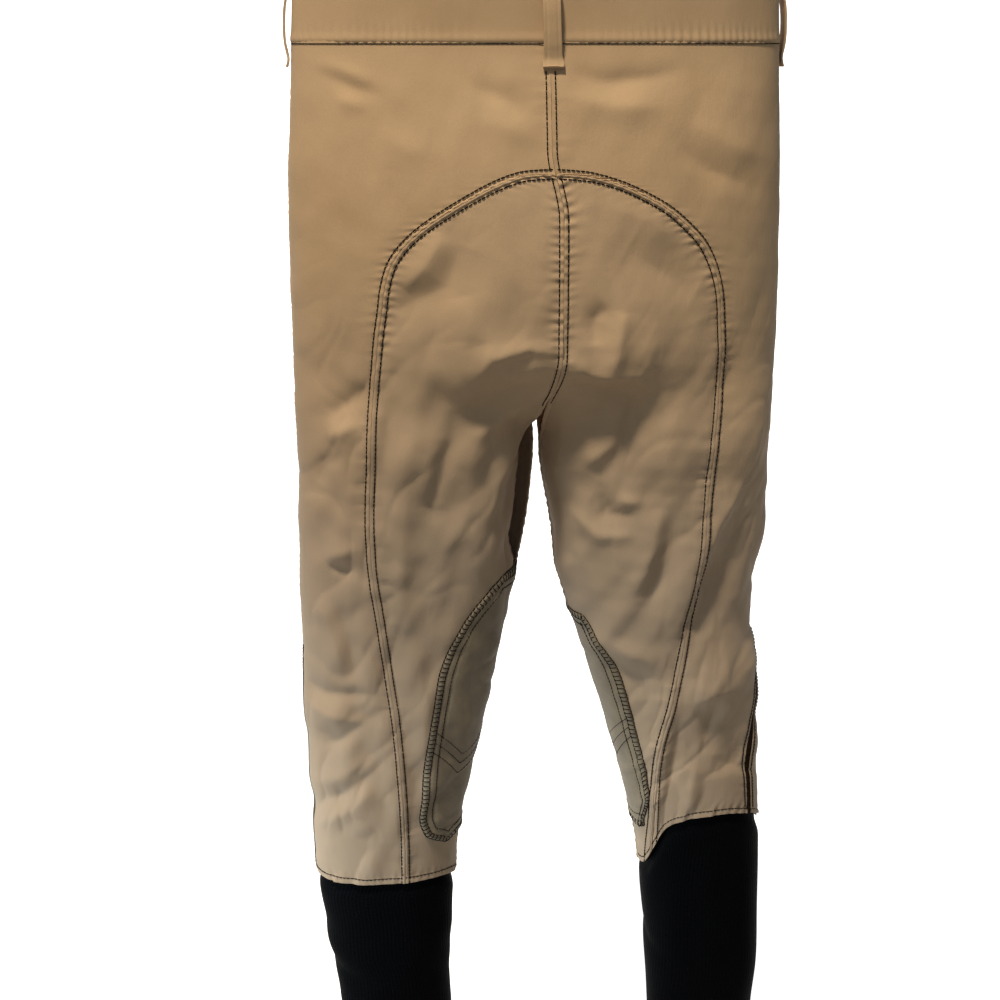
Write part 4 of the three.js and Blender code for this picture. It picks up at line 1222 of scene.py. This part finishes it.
def pocket(side):
    """The slanted pocket's welt on the outside and its bag inside."""
    pocket_piece(side, "welt", WELT, 1.8, 1.8, 70, 14, BODY)
    pocket_piece(side, "bag", BAG, -2.8, 1.2, 60, 34, LINING)
    out = Stitches()
    top, foot = WELT[0][0], WELT[1][0]
    z = np.linspace(top, foot, 120)
    for inset in (-2.6, 11.5):
        out.row(*on_cloth(side, place_at_x(side, welt_edge(z) + inset, z, "front"), z, 0.0))
    for level in (top, top - 2, foot + 2, foot):
        x = welt_edge(level) + np.linspace(-2, 11, 12)
        points, normals = on_cloth(side, place_at_x(side, x, level, "front"), level, 1.6)
        out.row(points, normals, pitch=1.3, share=1.0)
    place_piece(out.make(f"pocket_thread_{WORD[side]}", THREAD), ROOT)


def band_seam_shadow():
    """Painted shadow: an unbroken dark line of thread capsules along the waistband's lower seam, standing in
    for the seam's shadow.
    """
    out = Stitches()
    place = np.linspace(end_place(RIGHT, 5.5), end_place(LEFT, 40), 900)[None, :]
    points, normals = band_points(place, np.full(place.shape, -BAND_HEIGHT - 0.6))
    # Overlapping capsules (share over 1) join into one dark line: painted seam shadow, not a stitch row.
    out.row(points[0] + normals[0] * 0.15, normals[0], pitch=3.2, share=1.3, radius=0.34)
    place_piece(out.make("band_seam_shadow_line", THREAD), ROOT)


def build_half(side):
    word = WORD[side]
    pieces = [
        (seat_panel(side), "seat_panel", "body_cloth"),
        (back_side_panel(side), "back_side_panel", "body_cloth"),
        (front_panel(side), "front_panel", "body_cloth"),
        (side_insert(side), "side_insert", "stretch_insert"),
        (knee_patch(side), "knee_patch", "patch_suede"),
        (hem_facing(side), "hem_facing", "lining"),
        (sock_cuff(side), "sock_cuff", "elastic_rib"),
    ]
    for obj, node, slot in pieces:
        place_piece(obj, ROOT, f"{node}_{word}")
    for stitch in (stitch_seat_seam, stitch_centre_back, stitch_hem, stitch_side):
        place_piece(stitch(side), ROOT)
    place_piece(stitch_patch(side), ROOT)
    pocket(side)
    belt_loop(f"loop_side_{word}", f"belt_loop_side_{word}", side, 0.5)
    belt_loop(f"loop_front_{word}", f"belt_loop_front_{word}", side, abs(end_place(side, 96)))


METALS = {"zip_teeth": BRASS, "zip_slider": BRASS, "zip_pull": BRASS, "zip_stop": BRASS, "hook": STEEL}


def metal_nodes():
    """The hard CAD pieces that stay get a metal each."""
    for name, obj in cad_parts.items():
        for start, material in METALS.items():
            if name.startswith(start):
                obj.data.materials.clear()
                obj.data.materials.append(material)


waistband()
for one_side in (LEFT, RIGHT):
    build_half(one_side)
belt_loop("loop_back", "belt_loop_back", LEFT, 0, 2.0)
fly()
band_seam_shadow()
metal_nodes()


# ---------- stage, light and camera ----------
PAPER_GLOW = 0.9
FLOOR_LEVEL, FLOOR_REACH = -1.02, 6.0
WALL_PLACE, WALL_TOP, WALL_MIDDLE, WALL_HALF = -4.0, 0.9, -0.4, 2.6
SKY_COLOUR, SKY_STRENGTH = (0.82, 0.92, 1.0, 1), 0.20
CAMERA_PLACE, CAMERA_LOOK = (0.16148, 1.08541, -0.042), (-0.11623, -0.94661, -0.30071)
LENS, SENSOR = 52.2, 36
# Lights: name, place, target, size (m), watts, colour and, where it is narrowed, the spread in degrees.
LIGHTS = (
    ("key", (0.85, 1.10, 2.62), (0, 0.05, -0.35), 0.35, 118, (1.0, 0.89, 0.73)),
    ("side", (1.3, 0.45, -0.80), (0.16, 0, -0.72), 0.3, 0.45, (0.72, 0.88, 1.0), 26),
    ("fill", (0.5, 2.0, 0.2), (0, 0, -0.5), 1.2, 2.5, (0.86, 0.94, 1.0)),
    ("front", (0.9, -1.6, 1.9), (0, 0, -0.4), 0.7, 9, (1.0, 0.95, 0.88)),
)


def backdrop_material():
    """White paper that glows behind the garment and stays dull elsewhere."""
    material, tree, shader = new_material("paper")
    place = add_node(tree, "ShaderNodeTexCoord").outputs["Object"]
    split = add_node(tree, "ShaderNodeSeparateXYZ")
    tree.links.new(place, split.inputs[0])
    away = math_node(tree, "ABSOLUTE", math_node(tree, "SUBTRACT", split.outputs["X"], WALL_MIDDLE), 0.0)
    glow = math_node(tree, "MULTIPLY", fade(tree, split.outputs["Y"], -0.30, 0.25),
                     fade(tree, away, WALL_HALF - 0.5, WALL_HALF))
    tree.links.new(math_node(tree, "MULTIPLY", glow, PAPER_GLOW), shader.inputs["Emission Strength"])
    tree.links.new(mix_colours(tree, glow, (0.30, 0.29, 0.28), grey(0.9)), shader.inputs["Base Color"])
    set_inputs(shader, {"Emission Color": (1, 1, 1, 1), "Roughness": 0.8})
    return material


def paper(name, corners, material):
    mesh = bpy.data.meshes.new(name)
    mesh.from_pydata(corners, [], [(0, 1, 2, 3)])
    mesh.materials.append(material)
    obj = bpy.data.objects.new(name, mesh)
    bpy.context.scene.collection.objects.link(obj)


def stage():
    low, reach, far = FLOOR_LEVEL, FLOOR_REACH, WALL_PLACE
    left, right = WALL_MIDDLE - WALL_HALF, WALL_MIDDLE + WALL_HALF
    material = backdrop_material()
    floor = [(-reach, -reach, low), (reach, -reach, low), (reach, reach, low), (-reach, reach, low)]
    paper("floor", floor, material)
    wall = [(left, far, low), (right, far, low), (right, far, WALL_TOP), (left, far, WALL_TOP)]
    paper("backdrop", wall, material)
    world = bpy.data.worlds.new("studio")
    world.use_nodes = True
    background = world.node_tree.nodes["Background"].inputs
    background["Color"].default_value = SKY_COLOUR
    background["Strength"].default_value = SKY_STRENGTH
    bpy.context.scene.world = world


def area_light(name, place, target, size, watts, colour, spread_deg=180):
    light = bpy.data.lights.new(name, "AREA")
    light.size = size
    light.energy = watts
    light.color = colour
    light.spread = math.radians(spread_deg)
    obj = bpy.data.objects.new(name, light)
    obj.location = place
    obj.rotation_euler = (Vector(target) - Vector(place)).to_track_quat("-Z", "Y").to_euler()
    bpy.context.scene.collection.objects.link(obj)


def camera():
    data = bpy.data.cameras.new("camera")
    data.sensor_width = SENSOR
    data.lens = LENS
    data.clip_start = 0.05
    obj = bpy.data.objects.new("camera", data)
    obj.location = CAMERA_PLACE
    obj.rotation_euler = Vector(CAMERA_LOOK).to_track_quat("-Z", "Y").to_euler()
    bpy.context.scene.collection.objects.link(obj)
    bpy.context.scene.camera = obj


stage()
for light_settings in LIGHTS:
    area_light(*light_settings)
camera()
bpy.context.scene.view_settings.view_transform = "Standard"
